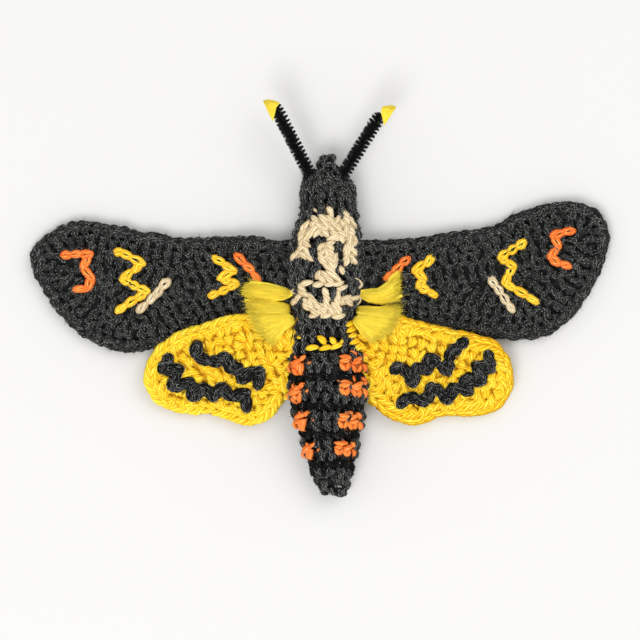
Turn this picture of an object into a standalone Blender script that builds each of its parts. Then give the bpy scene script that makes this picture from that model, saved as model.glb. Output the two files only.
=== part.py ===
"""A crocheted toy of a death's-head hawkmoth, lying flat with its wings spread.

The moth is a stuffed body worked in rounds, four flat wings with a braided rim,
chain-stitched markings laid on the wings, a pale skull worked on the thorax,
tufts of roving at the wing roots and two chenille antennae with wispy ends.

Units are millimetres until a mesh is written, when they become metres. The head
points along +Y, the back of the moth faces +Z and its belly rests at Z = 0.
The origin is under the middle of the whole moth.
"""
import math

import bmesh
import bpy
from mathutils import Vector
from mathutils.bvhtree import BVHTree

MM = 0.001

# Yarn and clearances: what lies on a surface keeps the gap and a little more
GAP = 0.3
RESTING_MARGIN = 0.08
STEEPEST_REST = 0.5
ABOVE_ALL = 100.0
SHARP_EDGE_DEGREES = 50.0
STITCH_WIDTH = 4.1
ROUND_HEIGHT = 3.6

# Body: its own middle, its flattening, and how rounds and bands swell it
BODY_MIDDLE_X = 2.4
BODY_FLATTENING = 0.82
BODY_SIDES = 24
ROUND_SWELL = 0.28
BAND_SWELL = 0.45
HEAD_TOP_Y = 54.5
NECK_Y = 32.5
WAIST_Y = -20.8
TAIL_Y = -75.8
BODY_LENGTHS = [
    ("head", HEAD_TOP_Y, NECK_Y + GAP / 2.0),
    ("thorax", NECK_Y - GAP / 2.0, WAIST_Y + GAP / 2.0),
    ("abdomen", WAIST_Y - GAP / 2.0, TAIL_Y),
]

# Places along the body: y, middle x, half width
WIDTH_STATIONS = [
    (54.5, 2.9, 1.8),
    (53.4, 2.9, 3.4),
    (49.8, 2.6, 4.7),
    (46.6, 2.2, 8.9),
    (40.1, 3.1, 10.9),
    (32.5, 3.3, 11.1),
    (22.6, 2.4, 13.2),
    (6.7, 2.4, 13.8),
    (-10.5, 1.9, 11.9),
    (-20.3, 2.4, 13.9),
    (-36.0, 2.9, 14.6),
    (-54.1, 3.8, 11.0),
    (-69.0, 4.7, 7.0),
    (-74.6, 5.5, 4.2),
    (-75.8, 5.7, 2.2),
]

# Height of the body's axis: y, z
AXIS_STATIONS = [
    (54.5, 9.4),
    (33.0, 9.6),
    (14.0, 10.6),
    (-8.0, 9.7),
    (-32.0, 11.1),
    (-52.0, 9.6),
    (-75.8, 7.2),
]

# Raised charcoal bands of the abdomen, with black hollows between them
BAND_MIDDLES_Y = [-25.3, -35.5, -46.9, -57.9]
BAND_HALF_LENGTH = 3.4
BANDS_END_Y = -64.0

# Wings: thickness, and how the root is carried above the ground
WING_HALF_THICKNESS = 2.75
WING_ROOT_LIFT = 4.5
WING_ROOT_REACH = 12.0
WING_RISE_LENGTH = 70.0
HIND_OVER_FORE = 2.0 * WING_HALF_THICKNESS + GAP
HIND_ROOT_LIFT = 5.0
HIND_RISE_LENGTH = 45.0
HIND_FALL_LENGTH = 24.0
HIND_FALL_START = 1.0

# Wing rim: a scallop for each stitch, a braid, a hollow behind it, then the flat field
RIM_STEP = STITCH_WIDTH / 2.0
RIM_SCALLOP = 0.4
BRAID_WIDTH = 2.1
BRAID_INNER = 4.4
BRAID_HOLLOW = 0.5
RIM_LARGEST_SHARE = 0.6
FIELD_RINGS = (0.33, 0.66)
SPINE_STEP = 7.0
CURVE_STEPS = 16

# Wing outlines, from the front of the root round the tip to the back of the root
FOREWING_OUTLINES = {
    "left": [
        (-2.0, 19.0), (-15.4, 22.2), (-31.7, 23.8), (-50.2, 22.9), (-66.1, 25.3),
        (-88.9, 29.3), (-100.7, 26.0), (-109.0, 18.6), (-109.3, 10.5),
        (-102.8, -1.3), (-92.7, -13.3), (-79.4, -20.3), (-69.7, -20.9),
        (-50.0, -17.5), (-30.0, -13.0), (-2.0, -7.5),
    ],
    "right": [
        (7.0, 19.0), (20.5, 21.9), (36.5, 22.8), (49.6, 25.2), (63.1, 26.9),
        (74.1, 32.0), (84.4, 35.4), (96.7, 36.6), (106.0, 32.3), (109.75, 25.0),
        (109.0, 16.5), (104.0, 4.0), (97.3, -5.9), (88.0, -13.8), (79.0, -16.4),
        (67.1, -16.0), (50.0, -13.7), (30.0, -11.3), (7.0, -8.0),
    ],
}
HINDWING_OUTLINES = {
    "left": [
        (-4.0, -8.0), (-18.0, -5.9), (-31.0, -6.1), (-41.4, -8.6), (-54.0, -13.1),
        (-62.7, -19.6), (-66.9, -29.8), (-62.7, -39.5), (-53.0, -44.2),
        (-40.0, -45.0), (-27.0, -48.6), (-18.0, -45.5), (-12.5, -38.8), (-4.0, -36.0),
    ],
    "right": [
        (8.0, -8.0), (20.0, -5.9), (32.0, -7.2), (46.4, -10.6), (58.9, -13.7),
        (67.8, -17.1), (72.8, -26.0), (72.8, -35.2), (68.2, -42.3), (60.0, -45.2),
        (46.4, -45.6), (35.5, -48.6), (24.0, -45.0), (18.0, -39.8), (9.0, -36.0),
    ],
}

# The line that each wing's fabric closes on, from its root outwards
FOREWING_SPINES = {
    "left": [(-8.0, 6.0), (-40.0, 4.0), (-70.0, 3.0), (-93.0, 10.0)],
    "right": [(12.0, 6.0), (45.0, 5.0), (72.0, 7.0), (94.0, 15.0)],
}
HINDWING_SPINES = {
    "left": [(-10.0, -22.0), (-30.0, -26.0), (-50.0, -28.5)],
    "right": [(14.0, -22.0), (36.0, -27.0), (58.0, -29.5)],
}

# The forewing's hidden rear edge: y at the body and how far it falls outwards
FORE_REAR_ROOT = {"left": (-12.5, -9.3), "right": (13.7, -9.3)}
FORE_REAR_SLOPE = {"left": 0.212, "right": 0.122}

# Chain-stitched marks of the forewings
MARK_WIDTH = 3.2
MARK_HEIGHT = 1.9
LINK_PINCH = 0.68
LINK_END = 0.6
LINK_FOOT = 0.7
LINK_SHOULDER = 0.55
CORNER_SHARE = 0.9
CORNER_INNER_SHARE = 0.36
CORNER_OUTER_REACH = 1.4
FLATTEST_CORNER = 0.1
FOREWING_MARKS = {
    "left": {
        "orange_outer": [
            (-98.0, 16.0), (-87.0, 16.3), (-90.1, 11.6), (-86.3, 7.6), (-87.8, 3.2), (-93.1, 2.9),
        ],
        "yellow_outer": [
            (-77.9, 16.9), (-75.6, 17.3), (-67.6, 12.9), (-75.1, 6.9), (-65.7, 2.1), (-77.3, -5.5),
        ],
        "cream": [(-57.0, 6.7), (-68.8, -5.5)],
        "yellow_inner": [(-40.7, 15.4), (-32.7, 10.1), (-37.2, 7.0), (-31.0, 5.1), (-42.2, 0.2)],
        "orange_inner": [(-31.9, 16.2), (-24.2, 8.6)],
    },
    "right": {
        "orange_outer": [(96.5, 25.3), (88.2, 23.8), (90.1, 18.8), (87.0, 15.4), (95.4, 10.5)],
        "yellow_outer": [(77.5, 21.1), (68.0, 15.4), (73.3, 11.6), (69.7, 5.5), (82.1, -1.5)],
        "cream": [(64.2, 7.8), (73.2, -5.4)],
        "yellow_inner": [(42.9, 15.8), (36.1, 10.5), (39.3, 7.0), (36.9, 4.0), (44.1, 1.0)],
        "orange_inner": [(33.8, 15.0), (26.2, 8.8)],
    },
}

# Zigzag bands of the hindwings
BAND_WIDTH = 4.0
BAND_HEIGHT = 2.3
HINDWING_BANDS = {
    "left": {
        "upper": [
            (-46.0, -17.3), (-46.7, -22.2), (-41.8, -24.1), (-38.0, -24.1), (-35.1, -22.2),
            (-34.2, -27.2), (-30.6, -26.4), (-29.8, -31.4), (-26.1, -28.1), (-22.4, -28.1),
            (-23.6, -33.5),
        ],
        "lower": [
            (-57.0, -21.5), (-59.9, -26.4), (-58.5, -29.5), (-54.9, -32.1), (-56.6, -34.8),
            (-50.0, -32.7), (-48.6, -36.3), (-47.9, -39.3), (-43.7, -33.9), (-40.5, -38.0),
            (-37.2, -33.9), (-33.8, -38.0), (-28.5, -36.3), (-27.7, -42.0),
        ],
    },
    "right": {
        "upper": [
            (27.2, -27.7), (30.8, -26.0), (35.7, -32.7), (36.1, -26.0), (41.0, -27.7),
            (40.7, -22.4), (48.1, -27.3), (49.3, -20.7), (54.7, -16.5),
        ],
        "lower": [
            (30.0, -40.9), (32.8, -37.6), (40.3, -39.3), (42.7, -33.5), (48.5, -38.8),
            (50.5, -33.5), (57.0, -36.3), (61.9, -32.7), (64.6, -27.3), (63.3, -20.3),
        ],
    },
}

# Tufts of roving, tied in at the body: where each leaves it and where its locks end
LOCK_WIDTH = 2.9
LOCK_HEIGHT = 3.4
LOCK_SPACING = 0.6
LOCK_SIDES = 6
LOCK_FULLNESS = [0.5, 0.8, 1.0, 1.0, 0.9, 0.55]
LOCK_REACH = 15.0
TUFTS = {
    "left": [
        ((-4.0, 1.3), [(-27.4, 4.4), (-28.6, 2.7), (-26.4, 1.2)]),
        ((-4.0, -3.0), [(-28.4, -2.3), (-27.0, -3.5)]),
        ((-2.0, -9.3), [(-26.4, -8.6), (-23.8, -11.6), (-21.4, -14.4), (-16.8, -16.4)]),
    ],
    "right": [
        ((8.6, 1.3), [(29.8, 5.0), (30.6, 3.0), (28.6, 1.2)]),
        ((8.6, -3.0), [(29.9, -2.3), (28.6, -3.5)]),
        ((6.0, -9.3), [(29.8, -8.7), (28.0, -11.6), (25.2, -14.2), (20.2, -15.6)]),
    ],
}

# Chenille antennae: base inside the head, and the far end of the stem
ANTENNA_RADIUS = 1.95
ANTENNA_SIDES = 8
PILE_RIDGES = 11
PILE_RIDGE_DEPTH = 0.3
ANTENNAE = {
    "left": ((-1.6, 40.5, 11.6), (-16.0, 71.8, 19.6)),
    "right": ((6.2, 40.5, 11.6), (22.4, 68.4, 19.4)),
}
# Wispy ends: the points that their locks reach
ANTENNA_TIPS = {
    "left": [(-21.6, 75.3, 20.4), (-18.4, 75.6, 21.0), (-15.4, 75.2, 20.2)],
    "right": [(28.8, 72.3, 20.2), (26.2, 73.4, 20.8), (23.8, 72.6, 20.0)],
}
WISP_WIDTH = 2.4
WISP_HEIGHT = 1.6
WISP_SIDES = 6
WISP_FULLNESS = [(0.0, 0.8), (0.4, 1.0), (1.0, 0.3)]

# Skull worked on the thorax, one sign for each half stitch, from the head down
PLATE_THICKNESS = 1.0
SKULL_TOP_Y = 32.0
SKULL_ROW = 1.8
SKULL_COLUMN_DEGREES = 9.4
SKULL_CHART = [
    ".....x..x..x....",
    "....xxxxxxxxxx..",
    "...xxxxxxxxxxx..",
    "...xxxxxxxxxxx..",
    "...xxxxxxxxxxx..",
    "..xxxxxxxxxxxxx.",
    ".xxxx..xx...xxx.",
    ".xxxx..xx...xxx.",
    ".xxxx..xx...xxx.",
    "..xxx..xx...xxx.",
    "..xxx..xxx..xx..",
    "....x..xxx..xx..",
    ".......xx.......",
    "......xxxxx.....",
    "...xxxxxxxxx....",
    "...xxxxxxxxx....",
    "...xx.....xxxx..",
    "...xx.....xxxx..",
    ".xxxxxxxxxxxxxx.",
    ".xxxxxxxxxxxxxx.",
    "....xxxxxxx.....",
    "....xxxxxxxx....",
    "....xxxxxxxx....",
]

# Orange patches of the abdomen: y from, y to, and degrees from the top of the back.
# The charts run from the back outwards, one sign for each half stitch.
PATCH_OUTER_DEGREES = 70.0
ORANGE_PATCHES = {
    "left": [(-22.0, -29.2, 30.0), (-33.4, -40.0, 34.0), (-43.4, -50.6, 22.0), (-55.2, -61.6, 28.0)],
    "right": [(-21.4, -28.0, 22.0), (-30.0, -38.4, 16.0), (-42.2, -50.2, 18.0), (-53.0, -61.0, 20.0)],
}
PATCH_CHARTS = {
    "left": [
        "...xx",
        ".xxxx",
        "xxxxx",
        "..xxx",
    ],
    "right": [
        "..x..",
        "xxxxx",
        "xxxxx",
        ".x.xx",
    ],
}

# Yellow braid across the waist, with three spikes towards the head
BRAID_Y = -18.8
BRAID_FROM_X = -5.2
BRAID_TO_X = 8.4
BRAID_SPIKES_X = [-0.8, 4.4, 8.2]
BRAID_SPIKE_LENGTH = 3.6
BRAID_SPIKE_LEAN = 0.3
BRAID_SPIKE_WIDTH = 1.7

COLOURS = {
    "charcoal_wool": (0.026, 0.029, 0.026),
    "yellow_cotton": (0.88, 0.55, 0.03),
    "black_yarn": (0.012, 0.012, 0.012),
    "orange_cotton": (0.90, 0.22, 0.045),
    "cream_cotton": (0.78, 0.64, 0.38),
    "roving_yellow": (0.86, 0.66, 0.05),
    "chenille_black": (0.010, 0.011, 0.011),
}


def clear_scene():
    for thing in list(bpy.data.objects):
        bpy.data.objects.remove(thing)


def new_collection(name):
    collection = bpy.data.collections.new(name)
    bpy.context.scene.collection.children.link(collection)
    return collection


def fabric(name):
    """The one material of this name: a matt fabric in its own colour."""
    found = bpy.data.materials.get(name)
    if found:
        return found
    material = bpy.data.materials.new(name)
    material.use_nodes = True
    shader = material.node_tree.nodes["Principled BSDF"]
    shader.inputs["Base Color"].default_value = (*COLOURS[name], 1.0)
    shader.inputs["Roughness"].default_value = 0.9
    shader.inputs["Metallic"].default_value = 0.0
    return material


def solid_from(name, points, faces, collection, colour):
    """An object from points in millimetres and faces, with its normals outwards."""
    mesh = bpy.data.meshes.new(name)
    mesh.from_pydata([tuple(value * MM for value in point) for point in points], [], faces)
    shaped = bmesh.new()
    shaped.from_mesh(mesh)
    bmesh.ops.recalc_face_normals(shaped, faces=shaped.faces)
    shaped.to_mesh(mesh)
    shaped.free()
    mesh.shade_smooth()
    mesh.set_sharp_from_angle(angle=math.radians(SHARP_EDGE_DEGREES))
    piece = bpy.data.objects.new(name, mesh)
    piece.data.materials.append(fabric(colour))
    collection.objects.link(piece)
    return piece


def through_stations(stations, y):
    """Values at y on a smooth curve through stations that run down from +Y."""
    if y >= stations[0][0]:
        return list(stations[0][1:])
    for index in range(len(stations) - 1):
        upper = stations[index]
        lower = stations[index + 1]
        if y >= lower[0]:
            break
    before = stations[max(index - 1, 0)]
    after = stations[min(index + 2, len(stations) - 1)]
    span = lower[0] - upper[0]
    part = min((y - upper[0]) / span, 1.0)
    values = []
    for slot in range(1, len(upper)):
        slope_in = (lower[slot] - before[slot]) / (lower[0] - before[0]) * span
        slope_out = (after[slot] - upper[slot]) / (after[0] - upper[0]) * span
        values.append(
            (2 * part**3 - 3 * part**2 + 1) * upper[slot]
            + (part**3 - 2 * part**2 + part) * slope_in
            + (3 * part**2 - 2 * part**3) * lower[slot]
            + (part**3 - part**2) * slope_out
        )
    return values


def band_swell(y):
    """Charcoal bands stand out of the abdomen, and the black hollows sink in."""
    if not BANDS_END_Y < y < WAIST_Y:
        return 0.0
    nearest = min(abs(y - middle) for middle in BAND_MIDDLES_Y)
    return BAND_SWELL if nearest < BAND_HALF_LENGTH else -BAND_SWELL


def body_section(y, swell):
    """Middle x, half width, middle z and half height of the body at y."""
    middle_x, half_width = through_stations(WIDTH_STATIONS, y)
    middle_z = through_stations(AXIS_STATIONS, y)[0]
    return middle_x, half_width + swell, middle_z, half_width * BODY_FLATTENING + swell


def body_point(y, degrees, lift):
    """A point on the body's back, lifted off it, at this angle from the top."""
    middle_x, half_width, middle_z, half_height = body_section(y, lift)
    angle = math.radians(degrees)
    return middle_x + half_width * math.sin(angle), y, middle_z + half_height * math.cos(angle)


def body_rings(start_y, end_y):
    """Rings along a length of body: y and how far the crochet swells there."""
    count = max(2, round((start_y - end_y) / (ROUND_HEIGHT / 2.0)))
    rings = []
    for step in range(count + 1):
        y = start_y + (end_y - start_y) * step / count
        ridge = ROUND_SWELL if step % 2 else -ROUND_SWELL
        if step in (0, count):
            ridge = 0.0
        rings.append((y, ridge + band_swell(y)))
    return rings


def body_loft(name, rings, grow, floor_z, collection, colour):
    """A closed length of the body between its first and last ring."""
    points = []
    for y, swell in rings:
        middle_x, half_width, middle_z, half_height = body_section(y, swell + grow)
        for side in range(BODY_SIDES):
            angle = 2.0 * math.pi * side / BODY_SIDES
            x = middle_x + half_width * math.sin(angle)
            z = max(middle_z + half_height * math.cos(angle), floor_z)
            points.append((x, y, z))
    faces = []
    for ring in range(len(rings) - 1):
        here = ring * BODY_SIDES
        there = here + BODY_SIDES
        for side in range(BODY_SIDES):
            after = (side + 1) % BODY_SIDES
            faces.append((here + side, here + after, there + after, there + side))
    faces.append(tuple(range(BODY_SIDES)))
    last = len(points) - BODY_SIDES
    faces.append(tuple(range(last, len(points))))
    return solid_from(name, points, faces, collection, colour)


def make_body(collection):
    return [
        body_loft(name, body_rings(start_y, end_y), 0.0, 0.0, collection, "charcoal_wool")
        for name, start_y, end_y in BODY_LENGTHS
    ]


def make_body_cutter(collection):
    """The whole body, grown by the gap: what grows from the body is cut by it."""
    rings = []
    for _, start_y, end_y in BODY_LENGTHS:
        rings += body_rings(start_y, end_y)
    cutter = body_loft("body_cutter", rings, GAP, -WING_HALF_THICKNESS, collection, "charcoal_wool")
    cutter.hide_render = True
    cutter.display_type = "WIRE"
    return cutter


def closed_curve(controls, spacing):
    """Evenly spaced points, an even number, on a smooth loop through the controls."""
    fine = []
    count = len(controls)
    for index in range(count):
        p0, p1, p2, p3 = (Vector(controls[(index + step) % count]) for step in (-1, 0, 1, 2))
        for step in range(CURVE_STEPS):
            t = step / CURVE_STEPS
            fine.append(0.5 * (
                2.0 * p1 + (p2 - p0) * t
                + (2.0 * p0 - 5.0 * p1 + 4.0 * p2 - p3) * t**2
                + (3.0 * p1 - p0 - 3.0 * p2 + p3) * t**3
            ))
    reach = [0.0]
    for index in range(len(fine)):
        reach.append(reach[-1] + (fine[(index + 1) % len(fine)] - fine[index]).length)
    total = 2 * round(reach[-1] / spacing / 2.0)
    loop = []
    index = 0
    for number in range(total):
        want = reach[-1] * number / total
        while reach[index + 1] < want:
            index += 1
        part = (want - reach[index]) / (reach[index + 1] - reach[index])
        loop.append(fine[index].lerp(fine[(index + 1) % len(fine)], part))
    return loop


def open_curve(controls, count):
    """Count + 1 points evenly along a polyline."""
    corners = [Vector(control) for control in controls]
    reach = [0.0]
    for start, end in zip(corners, corners[1:]):
        reach.append(reach[-1] + (end - start).length)
    line = []
    for number in range(count + 1):
        want = reach[-1] * number / count
        index = max(i for i in range(len(corners) - 1) if reach[i] <= want + 1e-9)
        part = (want - reach[index]) / (reach[index + 1] - reach[index])
        line.append(corners[index].lerp(corners[index + 1], part))
    return line


def ease(value):
    value = min(max(value, 0.0), 1.0)
    return value * value * (3.0 - 2.0 * value)


def forewing_middle(x, y):
    """Height of the middle of a forewing's fabric: high at the body, then on the ground."""
    away = (abs(x - BODY_MIDDLE_X) - WING_ROOT_REACH) / WING_RISE_LENGTH
    away = min(max(away, 0.0), 1.0)
    return WING_HALF_THICKNESS + WING_ROOT_LIFT * (1.0 - away) ** 2


def hindwing_middle(side, x, y):
    """The hindwing lies on the forewing's rear edge and falls to the ground behind it."""
    away = (abs(x - BODY_MIDDLE_X) - WING_ROOT_REACH) / HIND_RISE_LENGTH
    away = min(max(away, 0.0), 1.0)
    resting = WING_HALF_THICKNESS + HIND_ROOT_LIFT * (1.0 - away) ** 2
    on_forewing = forewing_middle(x, y) + HIND_OVER_FORE
    root_x, root_y = FORE_REAR_ROOT[side]
    edge_y = root_y - FORE_REAR_SLOPE[side] * max(abs(x) - abs(root_x), 0.0)
    behind = ease((edge_y - HIND_FALL_START - y) / HIND_FALL_LENGTH)
    return on_forewing + (resting - on_forewing) * behind


def wing_solid(name, outline, spine_controls, middle, collection, colour):
    """A flat stuffed wing with a scalloped rim, closed on a line along its middle."""
    rim = closed_curve(outline, RIM_STEP)
    valleys = rim[::2]
    reach = (Vector(spine_controls[-1]) - Vector(spine_controls[0])).length
    spine = open_curve(spine_controls, round(reach / SPINE_STEP))
    points = []
    for number, place in enumerate(rim):
        outwards = (place - spine[nearest_station(spine, place)]).normalized()
        scalloped = place + outwards * (RIM_SCALLOP if number % 2 else -RIM_SCALLOP)
        points.append((scalloped.x, scalloped.y, middle(scalloped.x, scalloped.y)))
    faces = []
    for sign, hollow in ((1.0, BRAID_HOLLOW), (-1.0, 0.0)):
        surface = sign * WING_HALF_THICKNESS
        insets = [(BRAID_WIDTH, 0.0, surface), (BRAID_INNER, 0.0, surface - hollow)]
        insets += [(BRAID_INNER, part, surface) for part in FIELD_RINGS]
        previous = list(range(len(rim)))
        for inset, part, height in insets:
            ring = []
            for place in valleys:
                towards = spine[nearest_station(spine, place)] - place
                inwards = min(inset, RIM_LARGEST_SHARE * towards.length)
                inwards += (towards.length - inwards) * part
                spot = place + towards.normalized() * inwards
                ring.append(len(points))
                points.append((spot.x, spot.y, middle(spot.x, spot.y) + height))
            faces += bridge(previous, ring)
            previous = ring
        line = []
        for spot in spine:
            line.append(len(points))
            points.append((spot.x, spot.y, middle(spot.x, spot.y) + surface))
        for number, place in enumerate(valleys):
            after = (number + 1) % len(valleys)
            start = nearest_station(spine, place)
            end = nearest_station(spine, valleys[after])
            step = 1 if start >= end else -1
            between = [line[index] for index in range(end, start + step, step)]
            faces.append((previous[number], previous[after], *between))
    return solid_from(name, points, faces, collection, colour)


def nearest_station(spine, place):
    """Number of the spine's point that this place on the wing looks towards."""
    axis = spine[-1] - spine[0]
    part = (place - spine[0]).dot(axis) / axis.length_squared
    return round(min(max(part, 0.0), 1.0) * (len(spine) - 1))


def bridge(outer, inner):
    """Faces between two rings, the outer with as many points or twice as many."""
    faces = []
    for index in range(len(inner)):
        after = (index + 1) % len(inner)
        if len(outer) == len(inner):
            faces.append((outer[index], outer[after], inner[after], inner[index]))
        else:
            middle = 2 * index + 1
            faces.append((outer[middle - 1], outer[middle], inner[index]))
            faces.append((outer[middle], outer[2 * after], inner[after], inner[index]))
    return faces


def cut_by(piece, cutter):
    """Takes the cutter's shape out of the piece and keeps the largest closed surface."""
    change = piece.modifiers.new("clear_of_body", "BOOLEAN")
    change.operation = "DIFFERENCE"
    change.solver = "EXACT"
    change.object = cutter
    settle(piece)


def settle(piece):
    """Applies the piece's modifiers and keeps only its largest closed surface."""
    depsgraph = bpy.context.evaluated_depsgraph_get()
    mesh = bpy.data.meshes.new_from_object(piece.evaluated_get(depsgraph))
    piece.modifiers.clear()
    old = piece.data
    piece.data = mesh
    bpy.data.meshes.remove(old)
    shaped = bmesh.new()
    shaped.from_mesh(mesh)
    left = set(shaped.verts)
    islands = []
    while left:
        island = {left.pop()}
        front = list(island)
        while front:
            vertex = front.pop()
            for edge in vertex.link_edges:
                other = edge.other_vert(vertex)
                if other in left:
                    left.remove(other)
                    island.add(other)
                    front.append(other)
        islands.append(island)
    largest = max(islands, key=lambda island: island_volume(island))
    loose = [vertex for vertex in shaped.verts if vertex not in largest]
    bmesh.ops.delete(shaped, geom=loose, context="VERTS")
    shaped.to_mesh(mesh)
    shaped.free()
    mesh.shade_smooth()
    mesh.set_sharp_from_angle(angle=math.radians(SHARP_EDGE_DEGREES))


def island_volume(island):
    """Volume that the faces of these joined vertices enclose."""
    faces = {face for vertex in island for face in vertex.link_faces}
    total = 0.0
    for face in faces:
        corners = [vertex.co for vertex in face.verts]
        for first, second in zip(corners[1:], corners[2:]):
            total += corners[0].dot(first.cross(second)) / 6.0
    return abs(total)


def surface_tree(pieces):
    """A search tree over the pieces' meshes, in millimetres."""
    points = []
    faces = []
    for piece in pieces:
        start = len(points)
        points += [vertex.co / MM for vertex in piece.data.vertices]
        faces += [[start + index for index in face.vertices] for face in piece.data.polygons]
    return BVHTree.FromPolygons(points, faces)


def height_on(tree, x, y):
    """Height of the highest surface at x, y, and how far to lift off its slope."""
    place, normal, _, _ = tree.ray_cast(Vector((x, y, ABOVE_ALL)), Vector((0.0, 0.0, -1.0)))
    if place is None:
        return 0.0
    return place.z + (GAP + RESTING_MARGIN) / max(normal.z, STEEPEST_REST)


def left_of(direction):
    return Vector((-direction.y, direction.x))


def chain_stations(path, width):
    """Places along a chain: where, its left hand, its reach to left and right, its share.

    A link swells between its ends and is drawn in where it meets the next one. At a
    corner, neither leg reaches past the line that halves the corner.
    """
    corners = [Vector(place) for place in path]
    legs = [(end - start) for start, end in zip(corners, corners[1:])]
    turns = []
    for before, after in zip(legs, legs[1:]):
        turn = before.angle_signed(after)
        turns.append((-turn, math.tan((math.pi - abs(turn)) / 2.0)))
    turns = [(0.0, 0.0), *turns, (0.0, 0.0)]
    stations = []
    for number, leg in enumerate(legs):
        length = leg.length
        along = leg.normalized()
        links = max(1, round(length / STITCH_WIDTH))
        for step in range(1, 2 * links):
            share = 1.0 if step % 2 else LINK_PINCH
            reach = [width * share / 2.0, width * share / 2.0]
            away = length * step / (2 * links)
            for (turn, opening), distance in ((turns[number], away), (turns[number + 1], length - away)):
                if turn:
                    inner = 0 if turn > 0.0 else 1
                    reach[inner] = min(reach[inner], CORNER_SHARE * distance * opening)
            stations.append((corners[number] + along * away, left_of(along), *reach, share))
        turn, opening = turns[number + 1]
        if turn:
            following = legs[number + 1]
            hand = left_of(along) + left_of(following.normalized())
            hand.normalize()
            slant = hand.dot(left_of(along))
            half = width * LINK_PINCH / 2.0
            following_links = max(1, round(following.length / STITCH_WIDTH))
            shorter = min(length / links, following.length / following_links)
            bend = max(math.sqrt(1.0 - slant**2), FLATTEST_CORNER)
            inner_reach = min(half / slant, CORNER_INNER_SHARE * shorter / bend)
            outer_reach = min(half / slant, half * CORNER_OUTER_REACH)
            reach = (inner_reach, outer_reach) if turn > 0.0 else (outer_reach, inner_reach)
            stations.append((corners[number + 1], hand, *reach, LINK_PINCH))
    end_reach = width * LINK_END / 2.0
    first = left_of(legs[0].normalized())
    last = left_of(legs[-1].normalized())
    stations.insert(0, (corners[0], first, end_reach, end_reach, LINK_END))
    stations.append((corners[-1], last, end_reach, end_reach, LINK_END))
    return stations


def chain_solid(path, width, height, tree):
    """A chain of links along a path, lying on the surface below it."""
    points = []
    for place, hand, left, right, share in chain_stations(path, width):
        low_left = place + hand * left * LINK_FOOT
        low_right = place - hand * right * LINK_FOOT
        left_z = height_on(tree, low_left.x, low_left.y)
        right_z = height_on(tree, low_right.x, low_right.y)
        high_left = place + hand * left
        high_right = place - hand * right
        shoulder = height * share * LINK_SHOULDER
        points.append((low_left.x, low_left.y, left_z))
        points.append((low_right.x, low_right.y, right_z))
        points.append((high_right.x, high_right.y, right_z + shoulder))
        points.append((place.x, place.y, (left_z + right_z) / 2.0 + height * share))
        points.append((high_left.x, high_left.y, left_z + shoulder))
    return loft_faces(points, 5)


def loft_faces(points, sides):
    """Points of equal rings, with the faces between them and at both ends."""
    faces = []
    rings = len(points) // sides
    for ring in range(rings - 1):
        here = ring * sides
        there = here + sides
        for side in range(sides):
            after = (side + 1) % sides
            faces.append((here + side, here + after, there + after, there + side))
    faces.append(tuple(range(sides)))
    faces.append(tuple(range(len(points) - sides, len(points))))
    return points, faces


def joined_solid(name, solids, collection, colour):
    """One closed object from several closed solids that overlap."""
    first, *others = solids
    piece = solid_from(name, *first, collection, colour)
    if not others:
        return piece
    pieces = bpy.data.collections.new(name + "_pieces")
    bpy.context.scene.collection.children.link(pieces)
    for number, solid in enumerate(others):
        solid_from(f"{name}_piece_{number}", *solid, pieces, colour)
    change = piece.modifiers.new("join", "BOOLEAN")
    change.operation = "UNION"
    change.solver = "EXACT"
    change.operand_type = "COLLECTION"
    change.collection = pieces
    settle(piece)
    for other in list(pieces.objects):
        bpy.data.objects.remove(other)
    bpy.data.collections.remove(pieces)
    return piece


def lock_solid(root, end, tree):
    """A fat lock of roving, pinched at its root and ragged at its end."""
    root = Vector(root)
    end = Vector(end)
    across = left_of((end - root).normalized())
    outwards = 1.0 if end.x > root.x else -1.0
    points = []
    for ring, fullness in enumerate(LOCK_FULLNESS):
        place = root.lerp(end, ring / (len(LOCK_FULLNESS) - 1))
        under = []
        for step in (-1.0, 0.0, 1.0):
            spot = place + across * (step * LOCK_WIDTH / 2.0)
            away = max((spot.x - BODY_MIDDLE_X) * outwards, LOCK_REACH)
            under.append(height_on(tree, BODY_MIDDLE_X + away * outwards, spot.y))
        for side in range(LOCK_SIDES):
            angle = 2.0 * math.pi * side / LOCK_SIDES
            spot = place + across * (math.cos(angle) * LOCK_WIDTH * fullness / 2.0)
            z = max(under) + (1.0 + math.sin(angle)) * LOCK_HEIGHT * fullness / 2.0
            points.append((spot.x, spot.y, z))
    return loft_faces(points, LOCK_SIDES)


def tuft_solids(root, ends, tree):
    """Locks that leave the body side by side and spread out over the wings."""
    middle = (len(ends) - 1) / 2.0
    return [
        lock_solid((root[0], root[1] + (middle - number) * LOCK_SPACING), end, tree)
        for number, end in enumerate(ends)
    ]


def ring_across(place, along, half_width, half_height, sides):
    """Points of an oval ring that faces along a stem."""
    right = along.cross(Vector((0.0, 0.0, 1.0))).normalized()
    up = right.cross(along)
    points = []
    for side in range(sides):
        angle = 2.0 * math.pi * side / sides
        spot = place + right * math.cos(angle) * half_width + up * math.sin(angle) * half_height
        points.append(tuple(spot))
    return points


def stem_solid(start, end):
    """A round chenille stem between two points, ridged by the turns of its pile."""
    along = (end - start).normalized()
    points = []
    for ring in range(2 * PILE_RIDGES + 1):
        radius = ANTENNA_RADIUS - (0.0 if ring % 2 else PILE_RIDGE_DEPTH)
        place = start.lerp(end, ring / (2 * PILE_RIDGES))
        points += ring_across(place, along, radius, radius, ANTENNA_SIDES)
    return loft_faces(points, ANTENNA_SIDES)


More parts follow.
